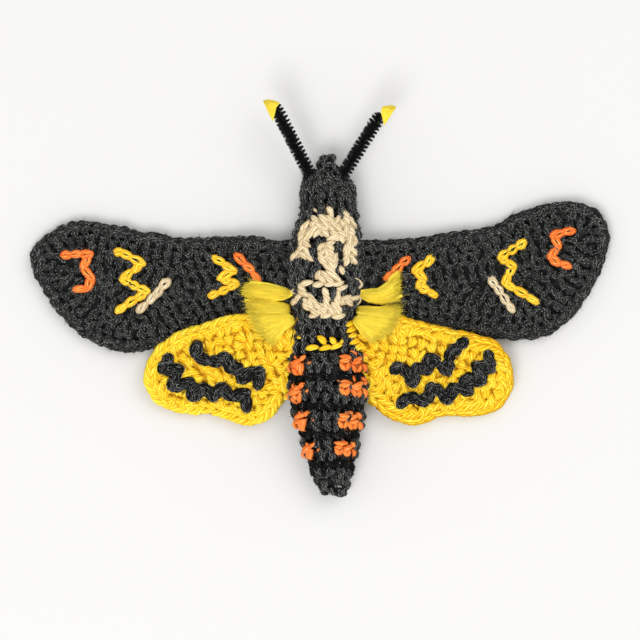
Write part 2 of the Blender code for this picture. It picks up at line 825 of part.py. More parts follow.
def wisp_solid(start, end, facing):
    """A flat tapered wisp from a root that faces along the stem to its own tip."""
    points = []
    for part, fullness in WISP_FULLNESS:
        along = facing if part == 0.0 else (end - start).normalized()
        half_width = WISP_WIDTH * fullness / 2.0
        half_height = WISP_HEIGHT * fullness / 2.0
        points += ring_across(start.lerp(end, part), along, half_width, half_height, WISP_SIDES)
    return loft_faces(points, WISP_SIDES)


def plate_on_body(name, cells, row_y, column_degrees, collection, colour):
    """A thin plate over the body's back, made of cells of a grid of rows and columns."""
    lift = GAP + ROUND_SWELL + BAND_SWELL
    numbers = {}
    points = []
    faces = []

    def corner(row, column):
        key = (row, column)
        if key not in numbers:
            numbers[key] = len(points)
            points.append(body_point(row_y(row), column_degrees(column), lift))
        return numbers[key]

    for row, column in cells:
        faces.append((
            corner(row, column), corner(row + 1, column),
            corner(row + 1, column + 1), corner(row, column + 1),
        ))
    plate = solid_from(name, points, faces, collection, colour)
    upwards = sum(face.normal.z for face in plate.data.polygons)
    if upwards < 0.0:
        plate.data.flip_normals()
    thicken = plate.modifiers.new("thickness", "SOLIDIFY")
    thicken.thickness = PLATE_THICKNESS * MM
    thicken.offset = 1.0
    return plate


def chart_cells(chart):
    """Rows and columns of the signs of a chart that are worked in its colour."""
    return [
        (row, column)
        for row, line in enumerate(chart)
        for column, sign in enumerate(line)
        if sign == "x"
    ]


def make_skull(collection):
    columns = len(SKULL_CHART[0])
    plate_on_body(
        "skull_mark", chart_cells(SKULL_CHART),
        lambda row: SKULL_TOP_Y - SKULL_ROW * row,
        lambda column: (column - columns / 2.0) * SKULL_COLUMN_DEGREES,
        collection, "cream_cotton",
    )


def make_orange_patches(collection):
    for side, patches in ORANGE_PATCHES.items():
        sign = -1.0 if side == "left" else 1.0
        chart = PATCH_CHARTS[side]
        rows = len(chart)
        columns = len(chart[0])
        for number, (from_y, to_y, inner_degrees) in enumerate(patches, start=1):
            plate_on_body(
                f"orange_patch_{side}_{number}", chart_cells(chart),
                lambda row: from_y + (to_y - from_y) * row / rows,
                lambda column: sign * (
                    inner_degrees + (PATCH_OUTER_DEGREES - inner_degrees) * column / columns
                ),
                collection, "orange_cotton",
            )


def make_waist_braid(body_tree, collection):
    row = [(BRAID_FROM_X, BRAID_Y), (BRAID_TO_X, BRAID_Y)]
    solids = [chain_solid(row, MARK_WIDTH, MARK_HEIGHT, body_tree)]
    for x in BRAID_SPIKES_X:
        spike = [(x - BRAID_SPIKE_LEAN, BRAID_Y + BRAID_SPIKE_LEAN), (x, BRAID_Y + BRAID_SPIKE_LENGTH)]
        solids.append(chain_solid(spike, BRAID_SPIKE_WIDTH, BRAID_SPIKE_WIDTH, body_tree))
    joined_solid("waist_braid", solids, collection, "yellow_cotton")


def make_forewings(cutter, collection):
    wings = {}
    for side in ("left", "right"):
        wing = wing_solid(
            f"forewing_{side}", FOREWING_OUTLINES[side], FOREWING_SPINES[side],
            forewing_middle, collection, "charcoal_wool",
        )
        cut_by(wing, cutter)
        wings[side] = wing
    return wings


def make_hindwings(cutter, collection):
    wings = {}
    for side in ("left", "right"):
        wing = wing_solid(
            f"hindwing_{side}", HINDWING_OUTLINES[side], HINDWING_SPINES[side],
            lambda x, y: hindwing_middle(side, x, y), collection, "yellow_cotton",
        )
        cut_by(wing, cutter)
        wings[side] = wing
    return wings


def make_forewing_marks(wings, collection):
    for side, marks in FOREWING_MARKS.items():
        tree = surface_tree([wings[side]])
        for mark, path in marks.items():
            chain = chain_solid(path, MARK_WIDTH, MARK_HEIGHT, tree)
            colour = mark.split("_")[0] + "_cotton"
            solid_from(f"mark_{mark}_{side}", *chain, collection, colour)


def make_hindwing_bands(wings, collection):
    for side, bands in HINDWING_BANDS.items():
        tree = surface_tree([wings[side]])
        for band, path in bands.items():
            chain = chain_solid(path, BAND_WIDTH, BAND_HEIGHT, tree)
            solid_from(f"band_{band}_{side}", *chain, collection, "charcoal_wool")


def make_tufts(forewings, hindwings, cutter, collection):
    for side, tufts in TUFTS.items():
        tree = surface_tree([forewings[side], hindwings[side]])
        for number, (root, ends) in enumerate(tufts, start=1):
            solids = tuft_solids(root, ends, tree)
            tuft = joined_solid(f"tuft_{side}_{number}", solids, collection, "roving_yellow")
            cut_by(tuft, cutter)


def make_antennae(cutter, collection):
    for side, (base, end) in ANTENNAE.items():
        base = Vector(base)
        end = Vector(end)
        stem = solid_from(f"antenna_{side}", *stem_solid(base, end), collection, "chenille_black")
        cut_by(stem, cutter)
        along = (end - base).normalized()
        start = end + along * GAP
        solids = [wisp_solid(start, Vector(target), along) for target in ANTENNA_TIPS[side]]
        joined_solid(f"antenna_tip_{side}", solids, collection, "roving_yellow")


def main():
    clear_scene()
    moth = new_collection("crocheted_hawkmoth")
    cutters = new_collection("cutters")
    body = make_body(moth)
    cutter = make_body_cutter(cutters)
    forewings = make_forewings(cutter, moth)
    hindwings = make_hindwings(cutter, moth)
    make_forewing_marks(forewings, moth)
    make_hindwing_bands(hindwings, moth)
    make_tufts(forewings, hindwings, cutter, moth)
    make_antennae(cutter, moth)
    make_skull(moth)
    make_orange_patches(moth)
    make_waist_braid(surface_tree(body), moth)


main()
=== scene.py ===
"""Looks of the crocheted toy hawkmoth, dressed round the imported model.

Every stitch is made of strands: tubes of plied yarn that are swept along short
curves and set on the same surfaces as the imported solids. Millimetres are used
until a mesh is written.
"""
import math

import bpy
import numpy as np
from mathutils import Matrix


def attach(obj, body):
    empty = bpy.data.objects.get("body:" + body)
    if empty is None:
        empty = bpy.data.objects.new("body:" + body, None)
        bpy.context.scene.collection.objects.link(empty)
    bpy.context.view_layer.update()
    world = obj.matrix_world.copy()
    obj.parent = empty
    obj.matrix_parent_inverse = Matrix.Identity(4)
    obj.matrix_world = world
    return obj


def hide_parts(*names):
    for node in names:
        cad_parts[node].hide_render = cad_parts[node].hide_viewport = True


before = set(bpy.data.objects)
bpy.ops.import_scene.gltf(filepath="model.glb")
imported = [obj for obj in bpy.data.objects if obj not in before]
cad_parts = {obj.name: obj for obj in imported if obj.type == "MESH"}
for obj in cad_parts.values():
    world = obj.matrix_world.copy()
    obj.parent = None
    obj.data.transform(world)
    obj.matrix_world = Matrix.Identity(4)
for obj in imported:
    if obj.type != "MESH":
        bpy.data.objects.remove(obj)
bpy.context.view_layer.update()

MM = 0.001
SEED = 11
UP = np.array([0.0, 0.0, 1.0])
rng = np.random.default_rng(SEED)

# How strands are twisted: sides, plies, depth of the plies, turns along the strand
TWISTS = {
    "fibre": (3, 1, 0, 0),
    "wool": (6, 3, 0.15, 0.4),
    "wool_rim": (6, 3, 0.15, 0.5),
    "cotton": (12, 6, 0.15, 0.4),
    "cotton_rim": (12, 6, 0.15, 0.5),
    "underside": (6, 3, 0.1, 0.6),
    "laid": (18, 6, 0.13, 0.22),
    "bridge": (12, 6, 0.13, 0.22),
    "mark": (20, 4, 0.24, 1.1),
    "band": (12, 6, 0.15, 0.9),
    "roving": (8, 4, 0.1, 0.3),
    "wire": (8, 2, 0.2, 9),
}

# Flecks lie along a strand: how many, length, radius, lean, how far out their root faces
FLECKS = {
    "wing": (10200, 0.66, 0.055, 0.22, 0.55),
    "rim": (3000, 0.9, 0.055, 0.22, 0.2),
    "head_charcoal": (26, 0.66, 0.06, 0.22, 0.55),
    "thorax_charcoal": (26, 0.66, 0.078, 0.22, 0.55),
    "abdomen_charcoal": (26, 0.66, 0.064, 0.22, 0.55),
    "abdomen_black": (3, 0.66, 0.064, 0.22, 0.55),
    "band": (60, 1.5, 0.045, 0.2, 0.2),
}

# Fuzz stands up from it: how many, length, radius
STANDING_LEAN = 0.38
STANDING_FACE = 0.2
FUZZ = {
    "wool_rim": (800, 1.7, 0.04), "wool": (1200, 1.6, 0.045),
    "cotton_rim": (260, 1.4, 0.04), "cotton": (420, 1.2, 0.04),
    "body": (4, 1.4, 0.045), "laid": (9, 1.3, 0.035),
    "mark": (14, 1.2, 0.035), "band": (20, 1.5, 0.045),
}

# Yarns: main, dark and light colour, where fibres show, fuzz, painted shade between the plies,
# roughness, then how fast the fibres change along the strand, and its plies
LONG_RUN = 0.55
SHORT_RUN = 1.6
PLIES = 6
MARK_PLIES = 4
PLY_SHADE_GREY = (0.35, 0.35, 0.35)
WHITE = (1, 1, 1)
BLACK = (0, 0, 0)
YARNS = {
    "charcoal_wool": (
        (0.029, 0.032, 0.029), (0.005, 0.006, 0.005), (0.2, 0.205, 0.2),
        0.57, 0.9, PLY_SHADE_GREY, 0.85, SHORT_RUN,
    ),
    "black_yarn": (
        (0.0065, 0.007, 0.006), (0.003, 0.003, 0.003), (0.018, 0.019, 0.017), 0.64, 0.8, PLY_SHADE_GREY, 0.85,
    ),
    # On the cotton yarns, chains included, the light colour stands for paler fibres and partly for a
    # painted highlight
    "yellow_cotton": (
        (1, 0.82, 0.062), (0.97, 0.66, 0.016), (1, 0.92, 0.3), 0.59, 0.5, (0.74, 0.43, 0.03), 0.7,
    ),
    "orange_cotton": (
        (1, 0.35, 0.062), (0.91, 0.21, 0.028), (1, 0.64, 0.28), 0.55, 0.5, (0.74, 0.34, 0.22), 0.7,
    ),
    "cream_cotton": (
        (0.88, 0.76, 0.52), (0.73, 0.6, 0.38), (1, 0.95, 0.79), 0.58, 0.5, (0.66, 0.55, 0.39), 0.75,
    ),
    "yellow_chain": (
        (1, 0.78, 0.062), (0.96, 0.66, 0.032), (1, 0.93, 0.4),
        0.58, 0.5, (0.72, 0.44, 0.1), 0.7, LONG_RUN, MARK_PLIES,
    ),
    "orange_chain": (
        (1, 0.33, 0.058), (0.93, 0.22, 0.028), (1, 0.62, 0.27),
        0.55, 0.5, (0.7, 0.3, 0.18), 0.7, LONG_RUN, MARK_PLIES,
    ),
    "cream_chain": (
        (0.88, 0.77, 0.54), (0.74, 0.62, 0.41), (1, 0.96, 0.82),
        0.58, 0.5, (0.6, 0.49, 0.34), 0.75, LONG_RUN, MARK_PLIES,
    ),
    "roving_yellow": (
        (1, 0.8, 0.07), (0.97, 0.75, 0.05), (1, 0.88, 0.2), 0.55, 0.3, WHITE, 0.6,
    ),
    "chenille_black": (
        (0.017, 0.019, 0.018), (0.006, 0.006, 0.006), (0.05, 0.053, 0.05), 0.65, 0.3, WHITE, 0.6,
    ),
    "heather_fibre": (
        (0.66, 0.67, 0.65), (0.04, 0.042, 0.04), (0.85, 0.85, 0.82), 0.62, 0.2, WHITE, 0.6,
    ),
    "wool_fluff": (
        (0.1, 0.1, 0.095), (0.02, 0.021, 0.02), (0.16, 0.15, 0.13), 0.62, 0.2, WHITE, 0.7,
    ),
}
# Colours of the cores beneath the stitches, darker than their yarns: painted shade in the crevices
CREVICE_SHADES = {"wool_crevice_shade": (0.006, 0.0065, 0.006), "yellow_crevice_shade": (0.92, 0.5, 0.008)}

# Yarn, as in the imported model
STITCH_WIDTH = 4.1
ROUND_HEIGHT = 3.6
CORE_DEPTH = 0.9
LOWEST_STRAND = 1
LAID_CLEARANCE = 1.35
BODY_MIDDLE_X = 2.4
BODY_FLATTENING = 0.82
BAND_SWELL = 0.45
BAND_MIDDLES_Y = np.array([-25.3, -35.5, -46.9, -57.9])
BAND_HALF_LENGTH = 3.4
BANDS_END_Y = -64
WAIST_Y = -20.8

# Parts of the body: front end, rear end, height of a round, how deep its stitches sit
BODY = {
    "head": (54.5, 32.5, 2.6, 1.4),
    "thorax": (32.5, WAIST_Y, ROUND_HEIGHT, 0.9),
    "abdomen": (WAIST_Y, -75.8, ROUND_HEIGHT, 0.9),
}

# Places along the body: y, middle x, half width, height of the axis
BODY_STATIONS = np.array([
    (-75.8, 5.7, 2.2, 7.2), (-74.6, 5.5, 4.2, 7.2), (-69, 4.7, 7, 8),
    (-54.1, 3.8, 11, 9.4), (-36, 2.9, 14.6, 10.9), (-20.3, 2.4, 13.9, 10.5),
    (-10.5, 1.9, 11.9, 9.8), (6.7, 2.4, 13.8, 10.3), (22.6, 2.4, 13.2, 10.2),
    (32.5, 3.3, 11.1, 9.6), (40.1, 3.1, 10.9, 9.6), (46.6, 2.5, 8.2, 9.5),
    (49.8, 2.6, 4.7, 9.4), (53.4, 2.9, 3.4, 9.4), (54.5, 2.9, 1.8, 9.4),
])

# Wings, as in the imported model
WING_HALF_THICKNESS = 2.75
WING_ROOT_LIFT = 4.5
WING_ROOT_REACH = 12
WING_RISE_LENGTH = 70
HIND_OVER_FORE = 5.8
HIND_ROOT_LIFT = 5
HIND_RISE_LENGTH = 45
HIND_FALL_LENGTH = 24
HIND_FALL_START = 1
HIND_FRONT_Y = -11
FLANK_Y = -16
FLANK_SINK = 3
FORE_REAR_ROOT = {"left": (-12.5, -9.3), "right": (13.7, -9.3)}
FORE_REAR_SLOPE = {"left": 0.212, "right": 0.122}
OUTLINES = {
    "forewing_left": [
        (-2, 19), (-15.4, 22.2), (-31.7, 23.8), (-50.2, 22.9), (-66.1, 25.3),
        (-88.9, 29.3), (-100.7, 26), (-109, 18.6), (-109.3, 10.5),
        (-102.8, -1.3), (-92.7, -13.3), (-79.4, -20.3), (-69.7, -20.9),
        (-50, -17.5), (-30, -13), (-2, -7.5),
    ],
    "forewing_right": [
        (7, 19), (20.5, 21.9), (36.5, 22.8), (49.6, 25.2), (63.1, 26.9),
        (74.1, 32), (84.4, 35.4), (96.7, 36.6), (106, 32.3), (109.75, 25),
        (109, 16.5), (104, 4), (97.3, -5.9), (88, -13.8), (79, -16.4),
        (67.1, -16), (50, -13.7), (30, -11.3), (7, -8),
    ],
    "hindwing_left": [
        (-4, -8), (-18, -5.9), (-31, -6.1), (-41.4, -8.6), (-54, -13.1),
        (-62.7, -19.6), (-66.9, -29.8), (-62.7, -39.5), (-53, -44.2),
        (-40, -45), (-27, -48.6), (-18, -45.5), (-12.5, -38.8), (-4, -36),
    ],
    "hindwing_right": [
        (8, -8), (20, -5.9), (32, -7.2), (46.4, -10.6), (58.9, -13.7),
        (67.8, -17.1), (72.8, -26), (72.8, -35.2), (68.2, -42.3), (60, -45.2),
        (46.4, -45.6), (35.5, -48.6), (24, -45), (18, -39.8), (9, -36),
    ],
}
ROUND_PITCH = 3.4
ROUNDS = 7
GRID = 0.7

# Marks on the forewings and bands on the hindwings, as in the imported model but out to
# their true ends, each a zigzag of chain stitches from corner to corner
CHAINS = {
    "mark_orange_outer_left": [
        (-98, 16), (-87, 16.3), (-90.1, 11.6), (-86.3, 7.6), (-87.8, 3.2), (-93.1, 2.9),
    ],
    "mark_yellow_outer_left": [
        (-77.9, 16.9), (-75.6, 17.3), (-67.6, 12.9), (-75.1, 6.9), (-65.7, 2.1), (-77.3, -5.5),
    ],
    "mark_cream_left": [(-57, 6.7), (-68.8, -5.5)],
    "mark_yellow_inner_left": [(-40.7, 15.4), (-32.7, 10.1), (-37.2, 7), (-31, 5.1), (-42.2, 0.2)],
    "mark_orange_inner_left": [(-31.9, 16.2), (-22.8, 6.3)],
    "mark_orange_outer_right": [(96.5, 25.3), (88.2, 23.8), (90.1, 18.8), (87, 15.4), (95.4, 10.5)],
    "mark_yellow_outer_right": [(77.5, 21.1), (68, 15.4), (73.3, 11.6), (69.7, 5.5), (82.1, -1.5)],
    "mark_cream_right": [(64.2, 7.8), (73.2, -5.4)],
    "mark_yellow_inner_right": [(42.9, 15.8), (36.1, 10.5), (39.3, 7), (36.9, 4), (44.1, 1)],
    "mark_orange_inner_right": [(33.8, 15), (24.7, 6.7)],
    "band_upper_left": [
        (-46, -17.3), (-46.7, -22.2), (-41.8, -24.1), (-38, -24.1), (-35.1, -22.2),
        (-34.2, -27.2), (-30.6, -26.4), (-29.8, -31.4), (-26.1, -28.1), (-22.4, -28.1),
        (-23.6, -33.5),
    ],
    "band_lower_left": [
        (-56.6, -21.8), (-59.4, -27.3), (-53.6, -26.8), (-54.8, -31.2), (-56.4, -34.2),
        (-48.6, -31.8), (-48.2, -38), (-43.6, -33.7), (-40.4, -37.9), (-37.2, -33.7),
        (-33.9, -38), (-28.4, -36.1), (-27.6, -42),
    ],
    "band_upper_right": [
        (27.2, -27.7), (30.8, -26), (35.7, -32.7), (36.1, -26), (41, -27.7),
        (40.7, -22.4), (48.1, -27.3), (49.3, -20.7), (54.7, -16.5),
    ],
    "band_lower_right": [
        (30, -40.9), (32.8, -37.6), (40.3, -39.3), (42.7, -33.5), (48.5, -38.8),
        (50.5, -34.2), (56.6, -35.4), (54.6, -30.4), (61.5, -32), (59, -25.8),
        (64.6, -26.8), (63.3, -20.3),
    ],
}

# Chains: the wing each kind is worked on, its width and its strand's radius
CHAIN_KINDS = {"mark": ("forewing", 1.85, 0.71), "band": ("hindwing", 2.1, 1.24)}

# One link's loop: shares of its run, how far across the leg, how far its tip reaches
LINK_STEPS = [0, 0.22, 0.42, 0.5, 0.58, 0.78, 1]
LINK_ACROSS = [0.06, 1.24, 0.56, 0, -0.56, -1.24, -0.06]
LINK_TIP = 1.06
ELBOW_TIP = 1.22
LAST_LINK_WIDTH = 0.8

# Antennae, and each tip's wisp: its foot and inner side, then its outer and inner corner
ANTENNA_RADIUS = 2.52
ANTENNAE = {
    "left": ((-0.8, 40.5, 11.6), (-17, 71.8, 19.6)),
    "right": ((5.1, 40.5, 11.6), (22.8, 68.6, 19.4)),
}
ANTENNA_TIPS = {
    "left": ((-17.6, 65.9, 20.6), (-16.4, 71.2, 22.3), (-21.3, 73.7, 20.2), (-15.2, 72.9, 21.6)),
    "right": ((24, 64.4, 20.4), (22.9, 69.2, 22.1), (28.4, 71.2, 20.2), (23.4, 71.2, 21.4)),
}
BRISTLES = 5600
BRISTLE_PITCH = 1.65
BRISTLE_RADIUS = 0.11
SHORT_BRISTLES = 0.4
WIRE_RADIUS = 0.6
WISP_FIBRES = 900
WISP_RADIUS = 0.12
WISP_CROWN = 0.6

# Tufts of roving from above: root, two shoulders, the frayed end's curve, the root's width
TUFTS = {
    "left_1": [
        (-10.4, 1.4), (-17.5, 4.3), (-17.5, -0.9), (-26.2, 5.5), (-28, 2.4), (-26.2, 0.4), 1,
    ],
    "left_2": [
        (-11.4, -4.4), (-17, -2), (-17, -6.6), (-27.2, -1), (-26.4, -3.6), (-26, -6.2), 2.6,
    ],
    "left_3": [
        (-9.8, -8.6), (-15.6, -6), (-13.2, -12.6), (-25.4, -6.6), (-23.2, -12.4), (-17.6, -17.8), 0.8,
    ],
    "right_1": [
        (15.2, 1.4), (22.8, 3.3), (22, -2.4), (29.2, 9.6), (29.3, 4.2), (29.4, -0.5), 2.4,
    ],
    "right_2": [
        (13.9, -4.8), (21.4, -3.9), (20.8, -7.8), (29.3, -3.8), (29, -5.4), (27.6, -7.2), 2,
    ],
    "right_3": [
        (12.8, -8.2), (20.8, -5.8), (15.6, -13.2), (28.8, -5.8), (26.2, -12.4), (19, -16.6), 0.8,
    ],
}
TUFT_HEIGHT = 4.2

# Layers of a tuft: how many strands, radius, their heights in it, fray, twist
TUFT_LAYERS = [
    (26, 0.75, (0.25, 0.78), 0.2, "roving"),
    (780, 0.11, (0.88, 1.18), 0.42, "fibre"),
    (170, 0.045, (0.5, 1.3), 1.7, "fibre"),
]

# Skull worked on the thorax in cream, one sign for each strand: R and L lean to the
# right and left, r and l lean less, I stands, = lies, o is a short end.
# Rows and columns are in half stitches, from the head down and from the left.
SKULL_TOP_Y = 32.4
SKULL_LEFT_X = -11.4
SKULL_ROW = 1.71
SKULL_COLUMN = 1.52
SKULL_CHART = [
    "......o...l.......",
    "..........r...l...",
    "......L.L.L.r.lL..",
    "....R.rL.L.L.lL.L.",
    "....r.R.L.L.L.IL..",
    "...R.R.R.L.L.L.L..",
    "...rR......=.l.rL.",
    "...rL.....=....rr.",
    "...RL...R.L...rr..",
    "..R.L...RlL...r.l.",
    ".R.L.L..L=.R..rL..",
    "........L.LR..r.L.",
    ".........LlR......",
    "..........L..l....",
    ".......r.LLL......",
    "........L.L.L.....",
    "....=..=..=.=.....",
    "...L.........=....",
    "...LL....l..I.....",
    "..R..L...L..I.=.=.",
    ".R..LrL..l..lI.L..",
    "....LL.L.L.lL.....",
    "......L.L.lLl.....",
    "......=..=..=.....",
]
SKULL_SIGNS = {
    "R": (3, 3.3), "L": (-3, 3.3), "r": (1.6, 3.5), "l": (-1.6, 3.5),
    "I": (0.1, 3.5), "=": (5.2, 1.2), "o": (-1.6, 1.5),
}
SKULL_ARCS = [
    [(13.4, 7.4), (15.4, 5), (13.6, 2.7)], [(13.6, 1.3), (15, -1), (13.5, -3.4)],
    [(-9.4, 3.4), (-10.1, 2.1), (-9.1, 1.1)],
]
ARC_RADIUS = 0.5

# Yellow row across the waist, and the stitches that sew the right hindwing on
WAIST_STRANDS = [
    [(-5.6, -19.3), (-0.3, -18.8)], [(-0.5, -19.5), (4.8, -18.4)], [(4.1, -19.5), (8.8, -17.9)],
    [(-1.3, -14.7), (1.9, -18.1)], [(3.8, -14.9), (6, -17.9)], [(8.3, -15.6), (7.5, -17.3)],
    [(-8.3, -14.3), (-7.1, -15)],
]
SEWING_STRANDS = [
    [(9.9, -10.8), (14, -9.4)], [(10.3, -13), (14.4, -11.4)], [(10.9, -15.2), (14.8, -13.6)],
    [(11.6, -17.3), (15.2, -15.8)], [(12.6, -19.2), (15.8, -17.9)],
    [(-9.6, -11.6), (-9.8, -15)], [(-9.8, -14.6), (-10.2, -18.2)],
]

# Orange patches: strands about a patch's middle, then each middle's place and size
RIGHT_PATCH = [
    [(-4.1, 3.3), (1.5, 2.5)], [(0.3, 4.8), (1.7, 2.8)], [(0.3, 1), (5, 2.9)],
    [(3.8, 3.9), (5.2, 1.3)], [(-3.9, 1.5), (0.3, 1.8)], [(-3.7, 1), (-1.4, -2.1)],
    [(-0.2, 0.8), (-1.3, -2.1)], [(0.4, 0.3), (2.3, -2.9)], [(3.8, 0.3), (2.5, -2.9)],
    [(0.5, 0.2), (4.5, 1)], [(4.6, 0.4), (5.3, -3.1)],
]
LEFT_PATCH = [
    [(-3.4, 0.4), (2.1, 2.8)], [(0.8, 1.9), (2.8, 4.2)], [(-1.5, 3.9), (-0.6, 2.2)],
    [(-3.2, -0.5), (1.7, 0.8)], [(-3.5, 0.6), (-3.1, -3)], [(-1.9, -1), (0.3, -3.8)],
    [(1.6, 0.8), (0.6, -3.8)], [(-1.4, 0.3), (0.8, -2.2)], [(3.8, 0.4), (4.9, 1.5)],
]
PATCHES = {
    "right_1": (11.4, -25.3, 1), "right_2": (11.3, -34.7, 1.12),
    "right_3": (10.3, -47.2, 0.95), "right_4": (8.6, -57.6, 0.8),
    "left_1": (-8.4, -25.6, 1), "left_2": (-9, -36.2, 1),
    "left_3": (-6.9, -46.8, 1), "left_4": (-4.4, -58.2, 0.85),
}

# Laid strands by colour: radius, unevenness, and how near two of them are joined beneath
LAID = {"cream": (1.06, 0.2, 3.1), "yellow": (1.12, 0.08, 0), "orange": (0.92, 0.08, 2.4)}
LAID_LIFT = 1.15
ARC_LIFT = 1.4
BRIDGE_LIFT = 0.25
LAID_DEPTH = 0.95
LAID_STRETCH = 1.04
LAID_FLATNESS = 0.85
FULL_STRAND = 3.2

# Camera straight above the photograph's middle; lights: name, place, size, power
CAMERA_HEIGHT = 1.5
CAMERA_Y = -0.00855
PICTURE_WIDTH = 0.2432
SENSOR = 36
LIGHTS = [("key", (-0.35, -0.8, 1.6), 0.9, 16), ("fill", (0.7, 0.7, 1.6), 1.2, 9)]
FLOOR_SIZE = 4
FLOOR_COLOUR = (0.69, 0.687, 0.68, 1)
STUDIO_COLOUR = (1, 0.995, 0.985, 1)
STUDIO_STRENGTH = 0.8


def unit(vectors):
    """Vectors of length one along the last axis."""
    return vectors / np.maximum(np.linalg.norm(vectors, axis=-1, keepdims=True), 1e-9)


def through(start, middle, end, t):
    """A quadratic curve from start to end, through the middle half way."""
    control = 2 * middle - 0.5 * (start + end)
    return (1 - t) ** 2 * start + 2 * t * (1 - t) * control + t**2 * end


def stacked(*parts):
    """The parts side by side on a new last axis."""
    return np.stack(np.broadcast_arrays(*parts), axis=-1)


def run_lengths(paths):
    """Length of each path."""
    return np.linalg.norm(np.diff(paths, axis=-2), axis=-1).sum(axis=-1)


def hermite(start, end, leaving, arriving, t):
    """A cubic curve between two places, with these directions there."""
    return (
        (2 * t**3 - 3 * t**2 + 1) * start + (t**3 - 2 * t**2 + t) * leaving
        + (3 * t**2 - 2 * t**3) * end + (t**3 - t**2) * arriving
    )


def smooth_table(stations, count):
    """Rows read evenly from a smooth curve through the stations, in their first value."""
    keys = stations[:, 0]
    slopes = np.gradient(stations[:, 1:], keys, axis=0)
    wanted = np.linspace(keys[0], keys[-1], count)
    index = np.clip(np.searchsorted(keys, wanted) - 1, 0, len(keys) - 2)
    span = (keys[index + 1] - keys[index])[:, None]
    part = (wanted - keys[index])[:, None] / span
    leaving, arriving = span * slopes[index], span * slopes[index + 1]
    return wanted, hermite(stations[index, 1:], stations[index + 1, 1:], leaving, arriving, part)


BODY_Y, BODY_VALUES = smooth_table(BODY_STATIONS, 600)


def body_at(y):
    """Middle x, half width, half height and axis height of the body, with its bands."""
    y = np.asarray(y, dtype=float)
    middle_x, half_width, axis_z = (np.interp(y, BODY_Y, BODY_VALUES[:, slot]) for slot in range(3))
    nearest = np.min(np.abs(y[..., None] - BAND_MIDDLES_Y), axis=-1)
    swell = np.where(nearest < BAND_HALF_LENGTH, BAND_SWELL, -BAND_SWELL)
    swell = np.where((y < WAIST_Y) & (y > BANDS_END_Y), swell, 0)
    return middle_x, half_width + swell, half_width * BODY_FLATTENING + swell, axis_z


def body_place(y, angle):
    """Places on the body at these angles round it, from the top."""
    middle_x, half_width, half_height, axis_z = body_at(y)
    return stacked(middle_x + half_width * np.sin(angle), y, axis_z + half_height * np.cos(angle))


def body_frames(y, angle):
    """Origins and axes on the body: round it, towards the tail, and outwards."""
    _, half_width, half_height, _ = body_at(y)
    origin = body_place(y, angle)
    origin[:, 2] = np.maximum(origin[:, 2], LOWEST_STRAND)
    round_it = unit(stacked(half_width * np.cos(angle), 0, -half_height * np.sin(angle)))
    towards_tail = unit(body_place(y - 0.8, angle) - origin)
    outwards = unit(np.cross(towards_tail, round_it))
    return np.stack([origin, round_it, towards_tail, outwards], axis=1)


def closed_curve(controls, spacing):
    """Evenly spaced points on a smooth loop through the controls."""
    controls = np.array(controls)
    t = (np.arange(24) / 24)[:, None]
    fine = []
    for index in range(len(controls)):
        p0, p1, p2, p3 = (controls[(index + step) % len(controls)] for step in (-1, 0, 1, 2))
        fine.append(hermite(p1, p2, (p2 - p0) / 2, (p3 - p1) / 2, t))
    fine = np.concatenate(fine + [fine[0][:1]])
    reach = np.concatenate([[0], np.cumsum(np.linalg.norm(np.diff(fine, axis=0), axis=1))])
    count = round(reach[-1] / spacing)
    wanted = reach[-1] * np.arange(count) / count
    return stacked(*(np.interp(wanted, reach, line) for line in fine.T))


def loop_directions(loop):
    """Along the loop and inwards, at each of its points, for either way round."""
    along = unit(np.roll(loop, -1, axis=0) - np.roll(loop, 1, axis=0))
    following = np.roll(loop, -1, axis=0)
    area = np.sum(loop[:, 0] * following[:, 1] - loop[:, 1] * following[:, 0])
    left = stacked(-along[:, 1], along[:, 0])
    return along, left if area > 0 else -left


def ease(value):
    value = np.clip(value, 0, 1)
    return value * value * (3 - 2 * value)


def lift_at_root(x, lift, length):
    """How far a wing rises towards its root, above where it lies flat."""
    away = np.clip((np.abs(x - BODY_MIDDLE_X) - WING_ROOT_REACH) / length, 0, 1)
    return WING_HALF_THICKNESS + lift * (1 - away) ** 2


def wing_middle(wing, x, y):
    """Height of the middle of a wing's fabric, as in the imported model."""
    kind, side = wing.split("_")
    on_ground = lift_at_root(x, WING_ROOT_LIFT, WING_RISE_LENGTH)
    if kind == "forewing":
        return on_ground
    resting = lift_at_root(x, HIND_ROOT_LIFT, HIND_RISE_LENGTH)
    root_x, root_y = FORE_REAR_ROOT[side]
    edge_y = root_y - FORE_REAR_SLOPE[side] * np.maximum(np.abs(x) - abs(root_x), 0)
    behind = ease((edge_y - HIND_FALL_START - y) / HIND_FALL_LENGTH)
    on_forewing = on_ground + HIND_OVER_FORE
    return on_forewing + (resting - on_forewing) * behind


def wing_frames(wing, places, along, face):
    """Origins and axes on a wing: along the row, inwards across it, and off the face."""
    step = 0.5
    x, y = places[:, 0], places[:, 1]
    height = wing_middle(wing, x, y)
    slope_x = (wing_middle(wing, x + step, y) - height) / step
    slope_y = (wing_middle(wing, x, y + step) - height) / step
    normal = unit(stacked(-slope_x, -slope_y, 1)) * face
    origin = stacked(x, y, height) + normal * WING_HALF_THICKNESS
    across = unit(np.cross(normal, stacked(*along.T, 0)))
    row = unit(np.cross(across, normal))
    return np.stack([origin, row, across, normal], axis=1)


